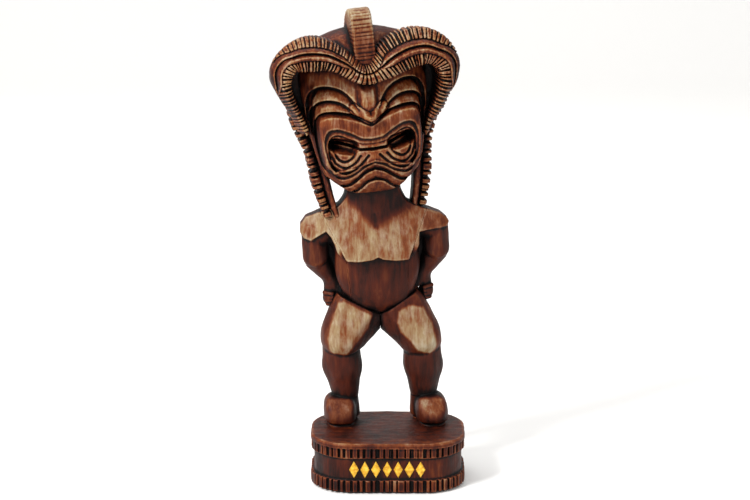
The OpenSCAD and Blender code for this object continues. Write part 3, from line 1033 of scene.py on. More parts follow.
@dataclass
class Crest(Carving):
    """Ribbed comb that stands on the dome. Its edges are set in the plane that divides left from right."""

    outer: tuple[Point, ...] = (
        (-17.6, 262), (-18.2, 272), (-18.3, 284), (-17.6, 294), (-15, 300.6), (-8, 303), (4, 301.4),
        (18, 294.5), (28.6, 282), (34, 268), (35, 258))
    inner: tuple[Point, ...] = ((28, 258), (22, 268), (12, 277), (-4, 278), (-11, 270), (-13, 262))
    half_width: float = 6.9
    centre: float = 1.2
    rib_pitch: float = 2.5
    rib_depth: float = 0.42
    rib_reach: float = 9.0

    def shape(self, g: Lattice) -> Array:
        """Field of the crest, in the head's frame.

        Args:
            g: the lattice.

        Returns:
            The field.
        """
        y, z = g.y[0], g.z[0]
        ring = outline(y, z, np.vstack([spline(self.outer), spline(self.inner)]))
        t = trace(y, z, spline(self.outer))
        wave = np.abs(np.sin(math.pi * (t.along + 0.35 * np.sin(t.along)) / self.rib_pitch)) ** 0.7
        rough = ring + self.rib_depth * (1 - wave) * ease(self.rib_reach - t.distance, 0, 6)
        width = self.half_width - 0.4 * (1 - wave) - 0.012 * np.clip(z - 275, 0, 30)
        full = np.broadcast_to(rough[None], (g.x.size, g.y.size, g.z.size))
        return meet(full, np.abs(g.x - self.centre) - width[None], 1.2)

    def pale(self, p: Array, n: Array) -> Array:
        """Rubbed back most at the top; upward faces are a little paler, downward ones a little darker, by
        painted top light.
        """
        return 0.38 + 0.42 * ease(p[:, 2], 270, 300) + 0.06 * n[:, 2]


# ---------- body ----------

class Mirrored(Lattice):
    """A lattice folded about its middle plane, so that a form set on the left appears on both sides."""

    def __init__(self, g: Lattice) -> None:
        """Folds another lattice's points."""
        self.low, self.high, self.step = g.low, g.high, g.step
        self.x, self.y, self.z = np.abs(g.x), g.y, g.z


@dataclass
class Torso(Carving):
    """Chest plate, belly and neck, with the field of the arms that are parted from the same trunk."""

    plate_left: tuple[Point, ...] = (
        (0, 145.2), (3, 143.6), (10.6, 142.4), (18.5, 142.2), (22.6, 144.2), (26.4, 150.6), (27.4, 158.4),
        (36, 158.9), (45.9, 159.3), (47.3, 162), (45.9, 164.6), (41.5, 168.4), (34, 171.8), (27.1, 174.8),
        (21, 178), (16, 184), (14, 188))
    plate_right: tuple[Point, ...] = (
        (3, 143.9), (10.5, 143.2), (19, 143.6), (22.6, 145.4), (25.6, 149.6), (26.8, 154.6), (28.6, 158.6),
        (31.4, 162.3), (36, 159.6), (41.2, 156.6), (45.6, 158), (47.7, 161.4), (47.2, 166.6), (43.6, 171.2),
        (31.7, 175.6), (22.7, 178), (17, 183), (14, 188))
    plate_face: float = -8.8
    plate_back: float = 20.0
    slope: float = 0.27
    belly: tuple[Point, Point] = ((0, 9.5, 140), (27.2, 12.5, 34.5))
    web_ring: tuple[Point, ...] = ((16, 166), (36, 160), (37, 144), (31, 130), (27, 116), (16, 112))
    web_front: float = 14.5
    web_back: float = 22.0
    spine_depth: float = 1.6
    arm_axis: Point = (38.6, 12, 152)
    arm_normals: tuple[Point, ...] = ((0.75, -0.66, 0), (-0.55, -0.83, 0), (0.08, -1, -0.12))
    fingers: int = 4
    arm_joint: tuple[Point, ...] = ((16.0, 90), (20, 144), (34, 174), (34, 230))
    joint_foot: float = 104.4
    joint_rise: float = 0.57
    neck_top: float = 191.2

    def plate_ring(self) -> Array:
        """The chest plate's whole outline, with the figure's left at +x."""
        right = [(-a, b) for a, b in reversed(self.plate_right)]
        return np.array([*self.plate_left, *right], float)

    def plate_front(self, x: Array, z: Array) -> Array:
        """Depth of the chest plate's face."""
        return self.plate_face + self.slope * (z - 144) + 11.5 * (np.abs(x) / 47) ** 2.3

    def plate(self, g: Lattice, side: int) -> Array:
        """Field of the chest plate.

        Args:
            g: the lattice.
            side: -1 if the lattice stands for the figure's right-hand side, mirrored.

        Returns:
            The field.
        """
        x, z = g.front()
        keel = 0.9 * np.exp(-((x / 2.2) ** 2)) * ease(z, 161, 166) * ease(176 - z, 0, 4)
        front = self.plate_front(x, z) + keel
        sheet = outline(side * x, z, self.plate_ring())
        return meet(meet(spread(sheet), spread(front) - g.y, 1.0), g.y - self.plate_back, 4.0)

    def core(self, g: Lattice) -> Array:
        """Field of the belly, ribs, shoulders and back.

        Args:
            g: the lattice.

        Returns:
            The field.
        """
        both = Mirrored(g)
        core = g.pebble(*self.belly)
        for nx in (-1, 1):
            core = meet(core, g.facet((0, -3.4, 140), (0.3 * nx, -1, 0.02)), 1.5)
        core = join(core, g.pebble((0, 12, 158), (28, 12.5, 22)), 3.0)
        core = join(core, both.limb((13, 14, 169.5), (36, 12.5, 160), 9.3, 8.8, 1.0), 4.0)
        core = join(core, both.pebble((13, 20, 113), (14.5, 13, 15)), 4.0)
        core = join(core, both.pebble((13, 17, 158), (16, 12.5, 17)), 5.0)
        web = outline(*both.front(), np.array(self.web_ring, float))
        core = join(core, meet(meet(spread(web), self.web_front - g.y, 1.5), g.y - self.web_back, 3.0), 1.5)
        spine = np.exp(-((g.x / 2.6) ** 2))
        return core + self.spine_depth * spine * ease(g.y, 18, 24) * ease(g.z, 118, 130)

    def trunk(self, g: Lattice, side: int = 1) -> Array:
        """Field of the chest, belly, hips and neck, before the arms are parted from it.

        Args:
            g: the lattice.
            side: -1 if the lattice stands for the figure's right-hand side, mirrored.

        Returns:
            The field.
        """
        neck = g.limb((0, 10.5, 170), (0, 10.5, 192), 17.2, 17.2, 0.8)
        return join(self.core(g), join(self.plate(g, side), neck, 6.0), 0.3)

    def limbs(self, g: Lattice) -> Array:
        """Field of both arms with their hands.

        Args:
            g: the lattice.

        Returns:
            The field.
        """
        both = Mirrored(g)
        arm = both.limb((38.4, 11.5, 159.5), (38.8, 12.5, 145), 8.5, 8.2, 1.0)
        cx, cy, cz = self.arm_axis
        for normal in self.arm_normals:
            arm = meet(arm, both.facet((cx + 6.9 * normal[0], cy + 7.3 * normal[1], cz), normal), 0.8)
        arm = meet(arm, both.facet((39, 4.6, 138.8), (0.25, -0.35, -1)), 1.0)
        lower = both.limb((38.2, 14.5, 142), (29.4, 19, 128), 7.7, 5.0, 1.0)
        lower = meet(lower, both.facet((40, 7.8, 133), (0.35, -1, -0.35)), 0.8)
        lower = join(lower, both.limb((29.4, 19, 128), (31, 18.6, 117), 4.9, 4.2), 2.0)
        hand = both.pebble((31.2, 18.4, 115.6), (4.6, 5.4, 5.2))
        for k in range(self.fingers):
            root, tip = (34.4 - 0.5 * k, 15.6, 119.4 - 2.5 * k), (29.4, 13.6, 118.6 - 2.3 * k)
            hand = join(hand, both.limb(root, tip, 1.5, 1.4), 0.5)
        return join(join(arm, lower, 0.5), hand, 0.8)

    def arm_side(self, g: Lattice) -> Array:
        """Field of the region outside the slanted joint between the torso and an arm, on the left."""
        line = trace(*g.front(), np.array(self.arm_joint))
        return spread(line.side * line.distance)

    def under_joint(self, g: Lattice) -> Array:
        """Field of the region under the slanted joint between the torso and the legs."""
        return (g.z - self.joint_foot - self.joint_rise * np.abs(g.x)) * 0.86

    def shape(self, g: Lattice) -> Array:
        """Field of the torso, in the figure's frame.

        Args:
            g: the lattice.

        Returns:
            The field.
        """
        d = join(self.trunk(g), self.limbs(g), 1.2)
        d = meet(d, -self.arm_side(Mirrored(g)), 0.1)
        d = meet(d, -self.under_joint(g) - 0.2, 0.2)
        return meet(d, g.z - self.neck_top, 0.2)

    def tone(self, p: Array, n: Array) -> Array:
        """Paleness over the torso and arms: high on the chest plate and the shoulder caps. A painted shadow,
        with stain, darkens the neck under the chin; painted shade darkens the figure's left side, away from
        the key light, and painted light lifts its right shoulder; upward faces take painted top light.

        Args:
            p: points in the figure's frame.
            n: normals.

        Returns:
            The paleness.
        """
        x, y, z = p.T
        sheet = outline(x, z, self.plate_ring())
        on_plate = ease(-sheet, -0.9, 0.3) * ease(self.plate_front(x, z) + 2.5 - y, 0, 1.6)
        # Painted shadow of the chin, with stain: a dark V from the chest up to the neck, spreading at these
        # slopes on either side.
        slope = np.where(x > -1, 0.5, 1.25)
        chin_shadow_and_stain = ease(z - 158 - slope * np.abs(x + 1), 0, 11)
        # Facing the front is rubbing; the upward share is painted top light.
        facing = np.clip(-0.8 * n[:, 1] + 0.35 * n[:, 2], 0, 1)
        behind = 0.12 * (y > 14) * np.clip(n[:, 2] + 0.5, 0, 1)
        # Painted shade across the figure's left, away from the key light, and painted light on its right
        # shoulder.
        side_light_and_shade = 1 - 0.14 * ease(x, -8, 8) - 0.22 * ease(x, 27, 34) + 0.1 * ease(-x, 24, 30)
        plate = on_plate * (0.32 + 0.38 * facing) * side_light_and_shade
        return 0.06 + 0.1 * facing + plate * (1 - 0.95 * chin_shadow_and_stain) - 0.18 * chin_shadow_and_stain * on_plate + behind

    def pale(self, p: Array, n: Array) -> Array:
        """Pale on the chest plate, dark red-brown on the belly, with painted shade in the recesses and a
        painted shadow, with stain, on the neck.
        """
        return self.tone(p, n)


@dataclass
class Arm(Carving):
    """Shoulder cap, upper arm, forearm and hand."""

    torso: Torso | None = None
    leg: "Leg | None" = None
    gap: float = 0.25

    def shape(self, g: Lattice) -> Array:
        """Field of the arm on its own side, in the figure's frame.

        Args:
            g: the lattice.

        Returns:
            The field, clear of the torso and of the leg that the hand rests on.
        """
        trunk = meet(self.torso.trunk(g, self.side), -self.torso.under_joint(g) - 0.2, 0.2)
        d = join(trunk, self.torso.limbs(g), 1.2)
        d = meet(d, self.torso.arm_side(g) - self.gap, 0.1)
        return meet(d, -self.leg.shape(g) - self.gap, 0.1)

    def pale(self, p: Array, n: Array) -> Array:
        """Pale on the shoulder cap, dark red-brown below, with the torso's painted light and shade."""
        return np.maximum(self.torso.tone(p, n), 0.1 + 0.16 * np.clip(-n[:, 1], 0, 1))


class Levelled(Lattice):
    """A lattice whose heights are measured from the plinth instead of along the leaning figure."""

    def __init__(self, g: Lattice, side: int) -> None:
        """Shears another lattice's heights; side is 1 for the figure's left."""
        self.low, self.high, self.step = g.low, g.high, g.step
        self.x, self.y = g.x, g.y
        self.z = g.z + side * math.tan(LEAN) * g.x


@dataclass
class Leg(Carving):
    """Thigh, knee, shin and foot. Its forms are set level with the plinth."""

    torso: Torso | None = None
    pale_left: tuple[Point, ...] = (
        (10.8, 107.7), (18.6, 112), (28, 110), (33.4, 99.3), (35.4, 84.7), (34, 79), (29.7, 77.9),
        (22.2, 80.9), (17.4, 87.7), (11.3, 93.1), (9.4, 99.8))
    pale_right: tuple[Point, ...] = (
        (22.5, 115), (4.6, 105.3), (7.7, 96.1), (16.6, 85.7), (23, 78.4), (34.7, 79.6), (35.2, 90),
        (31, 105.8), (27, 113.6))
    thigh_facets: tuple[tuple[Point, Point], ...] = (
        ((25, 0.2, 92), (0.05, -1, 0.2)), ((9, 4.2, 94), (-0.62, -0.68, -0.4)),
        ((37.4, 4.6, 94), (0.87, -0.5, 0.13)), ((38.4, 9, 90), (1, -0.1, 0.12)))
    shin_facets: tuple[tuple[Point, Point], ...] = (
        ((26, 3.4, 72), (0.0, -1, -0.05)), ((16.4, 7.6, 70), (-0.72, -0.69, -0.1)),
        ((36, 7.6, 70), (0.74, -0.67, -0.1)))
    knee: float = 77.2
    knee_inner_left: float = -1.4
    knee_inner_right: float = 3.0
    knee_outer: float = 2.2
    shin_foot: float = 49.0
    foot_top: float = 50.8
    foot_across: float = 29.6
    foot_height: float = 39.2
    foot_squareness: float = 2.7
    toe_left: float = -4.6
    toe_right: float = -1.6
    heel: float = 27.0
    gap: float = 0.12

    def thigh(self, g: Lattice) -> Array:
        """Field of the thigh, down to the cut above the knee.

        Args:
            g: the levelled lattice.

        Returns:
            The field.
        """
        d = g.limb((15.5, 15, 107), (25.2, 13.2, 89), 15.8, 14.4, 0.98)
        d = join(d, g.limb((4, 14.5, 101), (22.4, 13.5, 85), 8.2, 9.6), 2.5)
        for point, normal in self.thigh_facets:
            d = meet(d, g.facet(point, normal), 1.4)
        x, _ = g.front()
        inner = self.knee_inner_right if self.side < 0 else self.knee_inner_left
        knee = np.interp(x, (12, 26, 38), (self.knee + inner, self.knee, self.knee + self.knee_outer))
        return meet(d, spread(knee) + 0.22 * (g.y - 1) - g.z, 0.8)

    def shin(self, g: Lattice) -> Array:
        """Field of the shin.

        Args:
            g: the levelled lattice.

        Returns:
            The field.
        """
        d = g.limb((26.2, 14.8, 80), (26.2, 15, 69), 12.2, 12.6, 0.95)
        d = join(d, g.limb((26.2, 15, 69), (25.2, 14.8, 49), 12.6, 8.3, 0.95), 2.0)
        for point, normal in self.shin_facets:
            d = meet(d, g.facet(point, normal), 1.6)
        return d

    def foot(self, g: Lattice) -> Array:
        """Field of the foot: a squarish block with a cut toe, and a line round its sole.

        Args:
            g: the levelled lattice.

        Returns:
            The field.
        """
        toe = self.toe_left if self.side > 0 else self.toe_right
        middle, reach = (toe + self.heel) / 2, (self.heel - toe) / 2
        across, height = self.foot_across, self.foot_height
        power = self.foot_squareness
        place = ((g.x - across) / 10.4, (g.y - middle) / reach, (g.z - height) / 11.8)
        q = [np.abs(a) ** power for a in place]
        block = ((q[0] + q[1] + q[2]) ** (1 / power) - 1) * 10.0
        block = meet(block, g.facet((across, toe + 3.4, 44), (0.0, -1, 0.75)), 2.5)
        foot = join(block, g.limb((25, 17, 48), (24.8, 21, 36), 8.0, 8.6, 0.95), 1.5)
        foot = meet(foot, g.z - self.foot_top, 1.6)
        return foot + 1.1 * np.exp(-(((g.z - 32.6) / 1.0) ** 2))

    def shape(self, g: Lattice) -> Array:
        """Field of the leg on its own side, in the figure's frame.

        Args:
            g: the lattice.

        Returns:
            The field.
        """
        level = Levelled(g, self.side)
        d = join(self.thigh(level), self.shin(level), 0.8)
        d = meet(d, self.shin_foot - level.z, 0.8)
        d = join(d, self.foot(level), 0.4)
        d = meet(d, SOLE_Z - self.gap - level.z, 0.2)
        d = meet(d, self.gap - g.x, 0.1)
        return meet(d, self.torso.under_joint(g), 0.2)

    def pale(self, p: Array, n: Array) -> Array:
        """Pale on the thigh's front, dark on the shin, with a painted highlight on top of the foot that is
        stronger on the left foot.

        Args:
            p: points in the figure's frame.
            n: normals.

        Returns:
            The paleness.
        """
        x, z = np.abs(p[:, 0]), p[:, 2] + math.tan(LEAN) * p[:, 0]
        ring = np.array(self.pale_left if self.side > 0 else self.pale_right, float)
        front = np.clip(-n[:, 1], 0, 1)
        thigh = ease(-outline(x, z, ring), -0.6, 1.8) * ease(front, 0.3, 0.75)
        # Painted highlight on the top of the foot, stronger on the left foot.
        rub = 1.9 if self.side > 0 else 1.0
        foot = ease(50 - z, 0, 2) * np.clip(0.75 * n[:, 2] + 0.45 * front, 0, 1) * rub
        back = 0.1 * (p[:, 1] > 16)
        outer = 0.22 * ease(z, 76, 84) * np.clip(n[:, 0] * self.side, 0, 1)
        return 0.05 + 0.08 * front + 0.66 * thigh + 0.36 * foot + back + outer


# ---------- plinth ----------

@dataclass
class Plinth(Carving):
    """Oval plinth with a notched rim at its foot and under its lip."""

    size: tuple[float, float] = (98.6, 72.0)
    corner: float = 27.0
    felt: float = 1.2
    lower_rim: float = 8.8
    upper_rim: float = 23.6
    lip: float = 29.6
    waist: float = 1.3
    waist_ends: float = 0.9
    pitch: float = 4.2
    tooth_gap: float = 0.36
    lower_tooth: float = 1.7
    upper_tooth: float = 1.8

    def shape(self, g: Lattice) -> Array:
        """Field of the plinth, in the row frame.

        Args:
            g: the lattice.

        Returns:
            The field.
        """
        x, y = g.x[:, :, 0], g.y[:, :, 0]
        qx = np.abs(x) - self.size[0] / 2 + self.corner
        qy = np.abs(y) - self.size[1] / 2 + self.corner
        beyond = np.hypot(np.maximum(qx, 0), np.maximum(qy, 0))
        plan = beyond + np.minimum(np.maximum(qx, qy), 0) - self.corner
        tooth = notches(self.around(x, y), self.pitch, self.tooth_gap)
        z = g.z[0, 0]
        lower = ease(self.lower_rim - z, -0.2, 0.5)
        upper = ease(z, self.upper_rim - 0.2, self.upper_rim + 0.5) * ease(self.lip - z, -0.4, 0.4)
        panel = ease(z, self.lower_rim - 0.3, self.lower_rim + 0.5) * ease(self.upper_rim - z, -0.3, 0.5)
        near = ease(-plan, 6, 3)[:, :, None]
        ends = self.waist_ends * ease(np.abs(x), 34, 44)[:, :, None]
        d = plan[:, :, None] + near * ((self.waist + ends) * panel + 0.35 * upper)
        d = d + near * tooth[:, :, None] * (self.lower_tooth * lower + self.upper_tooth * upper)
        d = meet(d, g.z - PLINTH_TOP, 1.6)
        return meet(d, self.felt - g.z, 0.5)

    def around(self, x: Array, y: Array) -> Array:
        """Measures the way round the plinth's edge.

        Args:
            x: first coordinate of each point of a plan map.
            y: second coordinate.

        Returns:
            Distance round the edge, negative on the figure's right.
        """
        straight = (self.size[0] / 2 - self.corner, self.size[1] / 2 - self.corner)
        ax, ay = np.abs(x), np.abs(y)
        turn = np.arctan2(np.maximum(ax - straight[0], 0), np.maximum(ay - straight[1], 1e-6))
        s = np.minimum(ax, straight[0]) + self.corner * turn
        s = s + np.where(ax > straight[0], np.maximum(straight[1] - ay, 0), 0)
        return s * np.sign(x) + 0.5 * self.pitch

    def pale(self, p: Array, n: Array) -> Array:
        """Dark on top, with a painted highlight along the top's front edge, and red-brown round the side,
        paler towards the figure's left.

        Args:
            p: points in the row frame.
            n: normals.

        Returns:
            The paleness.
        """
        side = 0.18 * ease(p[:, 0], -30, 20) * np.clip(-n[:, 1], 0, 1)
        # Painted highlight along the front edge of the top.
        top = (0.14 + 0.16 * ease(-p[:, 1], 22, 34)) * np.clip(n[:, 2], 0, 1)
        return side + top


@dataclass
class Lozenges:
    """Row of gilded lozenges let into the plinth's front."""

    name: str = "gilded_lozenges"
    count: int = 7
    pitch: float = 7.0
    width: float = 5.8
    height: float = 10.8
    centre: float = -0.4
    middle: float = 16.0
    front: float = -34.7
    proud: float = 0.75
    sides: int = 16
    point: float = 0.97
    seed: int = 7

    def build(self) -> bpy.types.Object:
        """Makes the row as one mesh of bevelled, slightly uneven lozenges.

        Returns:
            The row's object.
        """
        rng = np.random.default_rng(self.seed)
        rings = ((1.0, 0.9), (1.0, -0.15), (0.84, -self.proud * 0.8), (0.36, -self.proud))
        points: list[tuple[float, ...]] = []
        faces: list[tuple[int, ...]] = []
        for i in range(self.count):
            cx = self.centre + (i - (self.count - 1) / 2) * self.pitch + rng.uniform(-0.15, 0.15)
            w, h = self.width / 2 * rng.uniform(0.94, 1.05), self.height / 2 * rng.uniform(0.96, 1.03)
            base = len(points)
            for grow, depth in rings:
                for k in range(self.sides):
                    a = 2 * math.pi * k / self.sides
                    c, s = math.cos(a), math.sin(a)
                    r = 1 / (abs(c) + abs(s)) ** self.point
                    x, z = cx + w * grow * c * r, self.middle + h * grow * s * r
                    points.append((x, self.front + depth, z))
            for start in range(base, base + (len(rings) - 1) * self.sides, self.sides):
                for k in range(self.sides):
                    a, b = start + k, start + (k + 1) % self.sides
                    faces.append((a, b, b + self.sides, a + self.sides))
            last = base + (len(rings) - 1) * self.sides
            faces.append(tuple(last + k for k in range(self.sides)))
            faces.append(tuple(base + k for k in reversed(range(self.sides))))
        mesh = bpy.data.meshes.new(self.name)
        mesh.from_pydata((np.array(points) * MM).tolist(), [], faces)
        mesh.update()
        piece = bpy.data.objects.new(self.name, mesh)
        bpy.context.scene.collection.objects.link(piece)
        return piece


# ---------- finishes ----------

def linear(code: str, alpha: float = 1.0) -> tuple[float, float, float, float]:
    """Linear colour of a hex code such as "a9744a"."""
    c = [int(code[k:k + 2], 16) / 255 for k in (0, 2, 4)]
    return (*(v / 12.92 if v <= 0.04045 else ((v + 0.055) / 1.055) ** 2.4 for v in c), alpha)


class Shader:
    """A material's node tree, with helpers that add and join its nodes."""

    def __init__(self, name: str) -> None:
        """Starts a material with a plain surface shader and the object's coordinates.

        Args:
            name: the material's name.
        """
        self.material = bpy.data.materials.new(name)
        self.material.use_nodes = True
        self.tree = self.material.node_tree
        self.tree.nodes.clear()
        self.surface = self.tree.nodes.new("ShaderNodeBsdfPrincipled")
        output = self.tree.nodes.new("ShaderNodeOutputMaterial")
        self.tree.links.new(self.surface.outputs["BSDF"], output.inputs["Surface"])
        self.place = self.node("ShaderNodeTexCoord").outputs["Object"]

    def node(self, kind: str, settings: dict[str, object] | None = None, **inputs: object) -> bpy.types.Node:
        """Adds a node.

        Args:
            kind: the node's type name.
            settings: its properties.
            inputs: values or sockets for its inputs, with spaces in their names as underscores.

        Returns:
            The node.
        """
        made = self.tree.nodes.new(kind)
        for key, value in (settings or {}).items():
            setattr(made, key, value)
        for key, value in inputs.items():
            self.feed(made.inputs[key.replace("_", " ")], value)
        return made

    def feed(self, socket: bpy.types.NodeSocket, value: object) -> None:
        """Links a socket to an input, or sets the input's constant.

        Args:
            socket: the input.
            value: a socket or a constant.
        """
        if isinstance(value, bpy.types.NodeSocket):
            self.tree.links.new(value, socket)
        else:
            socket.default_value = value

    def math(self, operation: str, *values: object) -> bpy.types.NodeSocket:
        """Adds a maths node.

        Args:
            operation: what it does.
            values: sockets or constants, in order.

        Returns:
            The result.
        """
        made = self.node("ShaderNodeMath", {"operation": operation})
        for socket, value in zip(made.inputs, values):
            self.feed(socket, value)
        return made.outputs["Value"]

    def noise(
        self, waves: Point, detail: float = 3.0, roughness: float = 0.55, twist: float = 0.0
    ) -> bpy.types.NodeSocket:
        """Adds noise.

        Args:
            waves: waves in a millimetre along each axis.
            detail: number of finer layers.
            roughness: strength of the finer layers.
            twist: distortion.

        Returns:
            The noise, about 0.5 in the middle.
        """
        per_metre = [w / MM for w in waves]
        scaled = self.node("ShaderNodeMapping", {"vector_type": "POINT"}, Vector=self.place, Scale=per_metre)
        made = self.node(
            "ShaderNodeTexNoise", Vector=scaled.outputs["Vector"], Scale=1.0, Detail=detail,
            Roughness=roughness, Distortion=twist)
        return made.outputs["Fac"]

    def stretch(
        self, value: object, low: float, high: float, to_low: float = 0.0, to_high: float = 1.0
    ) -> bpy.types.NodeSocket:
        """Maps one range of values to another, and clamps them.

        Args:
            value: socket or constant.
            low: value that becomes to_low.
            high: value that becomes to_high.
            to_low: start of the new range.
            to_high: end of the new range.

        Returns:
            The new value.
        """
        made = self.node(
            "ShaderNodeMapRange", Value=value, From_Min=low, From_Max=high, To_Min=to_low, To_Max=to_high)
        return made.outputs["Result"]

    def mark(self, name: str) -> bpy.types.NodeSocket:
        """Reads one of the vertex marks that the carving left."""
        return self.node("ShaderNodeAttribute", {"attribute_name": name}).outputs["Fac"]

    def ramp(self, value: bpy.types.NodeSocket, stops: Sequence[tuple[float, str]]) -> bpy.types.NodeSocket:
        """Colours a value by a ramp.

        Args:
            value: the value.
            stops: places from 0 to 1 with their hex codes.

        Returns:
            The colour.
        """
        made = self.node("ShaderNodeValToRGB", Fac=value)
        band = made.color_ramp
        band.elements.remove(band.elements[-1])
        band.elements[0].position, band.elements[0].color = stops[0][0], linear(stops[0][1])
        for place, code in stops[1:]:
            band.elements.new(place).color = linear(code)
        return made.outputs["Color"]

    def bump(self, height: bpy.types.NodeSocket, distance: float, strength: float = 1.0) -> None:
        """Roughens the surface by a height map whose full swing is the distance in millimetres."""
        made = self.node("ShaderNodeBump", Height=height, Distance=distance * MM, Strength=strength)
        self.feed(self.surface.inputs["Normal"], made.outputs["Normal"])

    def set(self, **inputs: object) -> None:
        """Feeds the surface shader's inputs."""
        for key, value in inputs.items():
            self.feed(self.surface.inputs[key.replace("_", " ")], value)


@dataclass(frozen=True)
class Wood:
    """Carved wood, stained dark and rubbed back on its ridges, with dark stain and painted shade in its
    hollows and grey patches of painted sheen on its pale parts.

    A tone from 0 to 1 runs through the colours. Each gain says how far one mark moves it. The waves of the
    noises are counted in a millimetre.
    """

    name: str
    base: float = 0.3
    colours: tuple[str, ...] = ("030101", "180705", "441709", "703616", "8e6b46", "ab9774")
    # Grey of the painted sheen patches, standing in for glints of light on the pale parts.
    sheen_grey: str = "a99c8a"
    sheen_gain: float = 0.62
    pale_gain: float = 0.5
    worn_gain: float = 0.3
    # How far dark stain in the grooves, with painted shade, darkens the tone.
    stain_and_shade_gain: float = 0.34
    streaks: float = 0.34
    coarse_gain: float = 0.16
    blotch_gain: float = 0.2
    pore_gain: float = 0.1
    across: float = 0.75
    length: float = 0.07
    pore_waves: Point = (2.6, 2.6, 0.16)
    blotch_waves: Point = (0.045, 0.045, 0.03)
    # Waves of the painted sheen patches.
    sheen_waves: Point = (0.16, 0.16, 0.1)
    roughness: tuple[float, float] = (0.42, 0.68)
    coat: float = 0.02
    specular: float = 0.13
    relief: float = 0.28

    def dress(self) -> bpy.types.Material:
        """Makes the material.

        Returns:
            The wood material.
        """
        s = Shader(self.name)
        fibre = s.noise((self.across, self.across, self.length), 4, 0.6, 0.3)
        coarse = s.noise((self.across * 0.28, self.across * 0.28, self.length * 0.5), 2)
        blotch = s.noise(self.blotch_waves, 3)
        pores = s.noise(self.pore_waves, 2, 0.7)
        pale, worn, stain_and_shade = s.mark("pale"), s.mark("worn"), s.mark("stain_and_shade")
        streak = s.stretch(fibre, 0.3, 0.7, -0.5, 0.5)
        tone = s.math("MULTIPLY_ADD", pale, self.pale_gain, self.base)
        tone = s.math("MULTIPLY_ADD", worn, self.worn_gain, tone)
        swing = s.math("MULTIPLY_ADD", pale, self.streaks * 0.7, self.streaks * 0.5)
        tone = s.math("MULTIPLY_ADD", streak, swing, tone)
        tone = s.math("MULTIPLY_ADD", s.stretch(coarse, 0.3, 0.7, -0.5, 0.5), self.coarse_gain, tone)
        tone = s.math("MULTIPLY_ADD", s.stretch(blotch, 0.3, 0.7, -0.5, 0.5), self.blotch_gain, tone)
        # Darkened by stain in the grooves and by painted shade.
        tone = s.math("MULTIPLY_ADD", stain_and_shade, -self.stain_and_shade_gain, tone)
        tone = s.math("MULTIPLY_ADD", s.stretch(pores, 0.62, 0.72), -self.pore_gain, tone)
        places = np.linspace(0.0, 1.0, len(self.colours))
        colour = s.ramp(tone, list(zip(places.tolist(), self.colours)))
        # Grey patches of painted sheen on the pale parts, standing in for glints of light.
        painted_sheen = s.math("MULTIPLY", s.stretch(s.noise(self.sheen_waves, 5, 0.7), 0.46, 0.66), self.sheen_gain)
        mix = s.node("ShaderNodeMixRGB", Color1=colour, Color2=linear(self.sheen_grey))
        s.feed(mix.inputs["Fac"], s.math("MULTIPLY", painted_sheen, s.stretch(tone, 0.5, 0.95)))
        s.set(Base_Color=mix.outputs["Color"])
        dull = s.math("ADD", fibre, s.math("MULTIPLY", stain_and_shade, 0.3))
        s.set(Roughness=s.stretch(dull, 0.3, 0.9, *self.roughness))
        s.set(Coat_Weight=self.coat, Coat_Roughness=0.3, Specular_IOR_Level=self.specular)
        grain = s.math("MULTIPLY_ADD", pores, 0.35, s.math("MULTIPLY", fibre, 0.65))
        s.bump(grain, self.relief)
        return s.material


@dataclass(frozen=True)
class Gilding:
    """Gold leaf, a little worn at its edges."""

    name: str = "gilt"
    colours: tuple[str, ...] = ("a8741a", "e2ac2c", "f7d45a")

    def dress(self) -> bpy.types.Material:
        """Makes the material.

        Returns:
            The gilt material.
        """
        s = Shader(self.name)
        leaf = s.noise((0.5, 0.5, 0.5), 4)
        rub = s.noise((1.6, 1.6, 1.6), 3)
        s.set(Base_Color=s.ramp(leaf, list(zip((0.25, 0.5, 0.75), self.colours))))
        s.set(Metallic=s.stretch(rub, 0.35, 0.6, 0.25, 0.6))
        s.set(Roughness=s.stretch(rub, 0.3, 0.7, 0.28, 0.5))
        s.bump(leaf, 0.12)
        return s.material


@dataclass(frozen=True)
class Felt:
    """Dark pressed felt."""

    name: str = "felt"
    colours: tuple[str, ...] = ("0d0f0c", "20241d")

    def dress(self) -> bpy.types.Material:
        """Makes the material.

        Returns:
            The felt material.
        """
        s = Shader(self.name)
        fuzz = s.noise((2.4, 2.4, 2.4), 4, 0.7)
        s.set(Base_Color=s.ramp(fuzz, list(zip((0.3, 0.7), self.colours))))
        s.set(Sheen_Weight=0.5, Sheen_Roughness=0.5)
        s.set(Roughness=s.stretch(fuzz, 0.3, 0.7, 0.85, 1.0))
        s.bump(fuzz, 0.3)
        return s.material


@dataclass(frozen=True)
class Steel:
    """Zinc-plated screw steel."""

    name: str = "steel"
    colours: tuple[str, ...] = ("77797a", "b9bcbd")

    def dress(self) -> bpy.types.Material:
        """Makes the material.

        Returns:
            The steel material.
        """
        s = Shader(self.name)
        dull = s.noise((0.8, 0.8, 0.8), 3)
        s.set(Base_Color=s.ramp(dull, list(zip((0.3, 0.7), self.colours))), Metallic=1.0)
        s.set(Roughness=s.stretch(dull, 0.3, 0.7, 0.3, 0.5))
        s.bump(dull, 0.05)
        return s.material


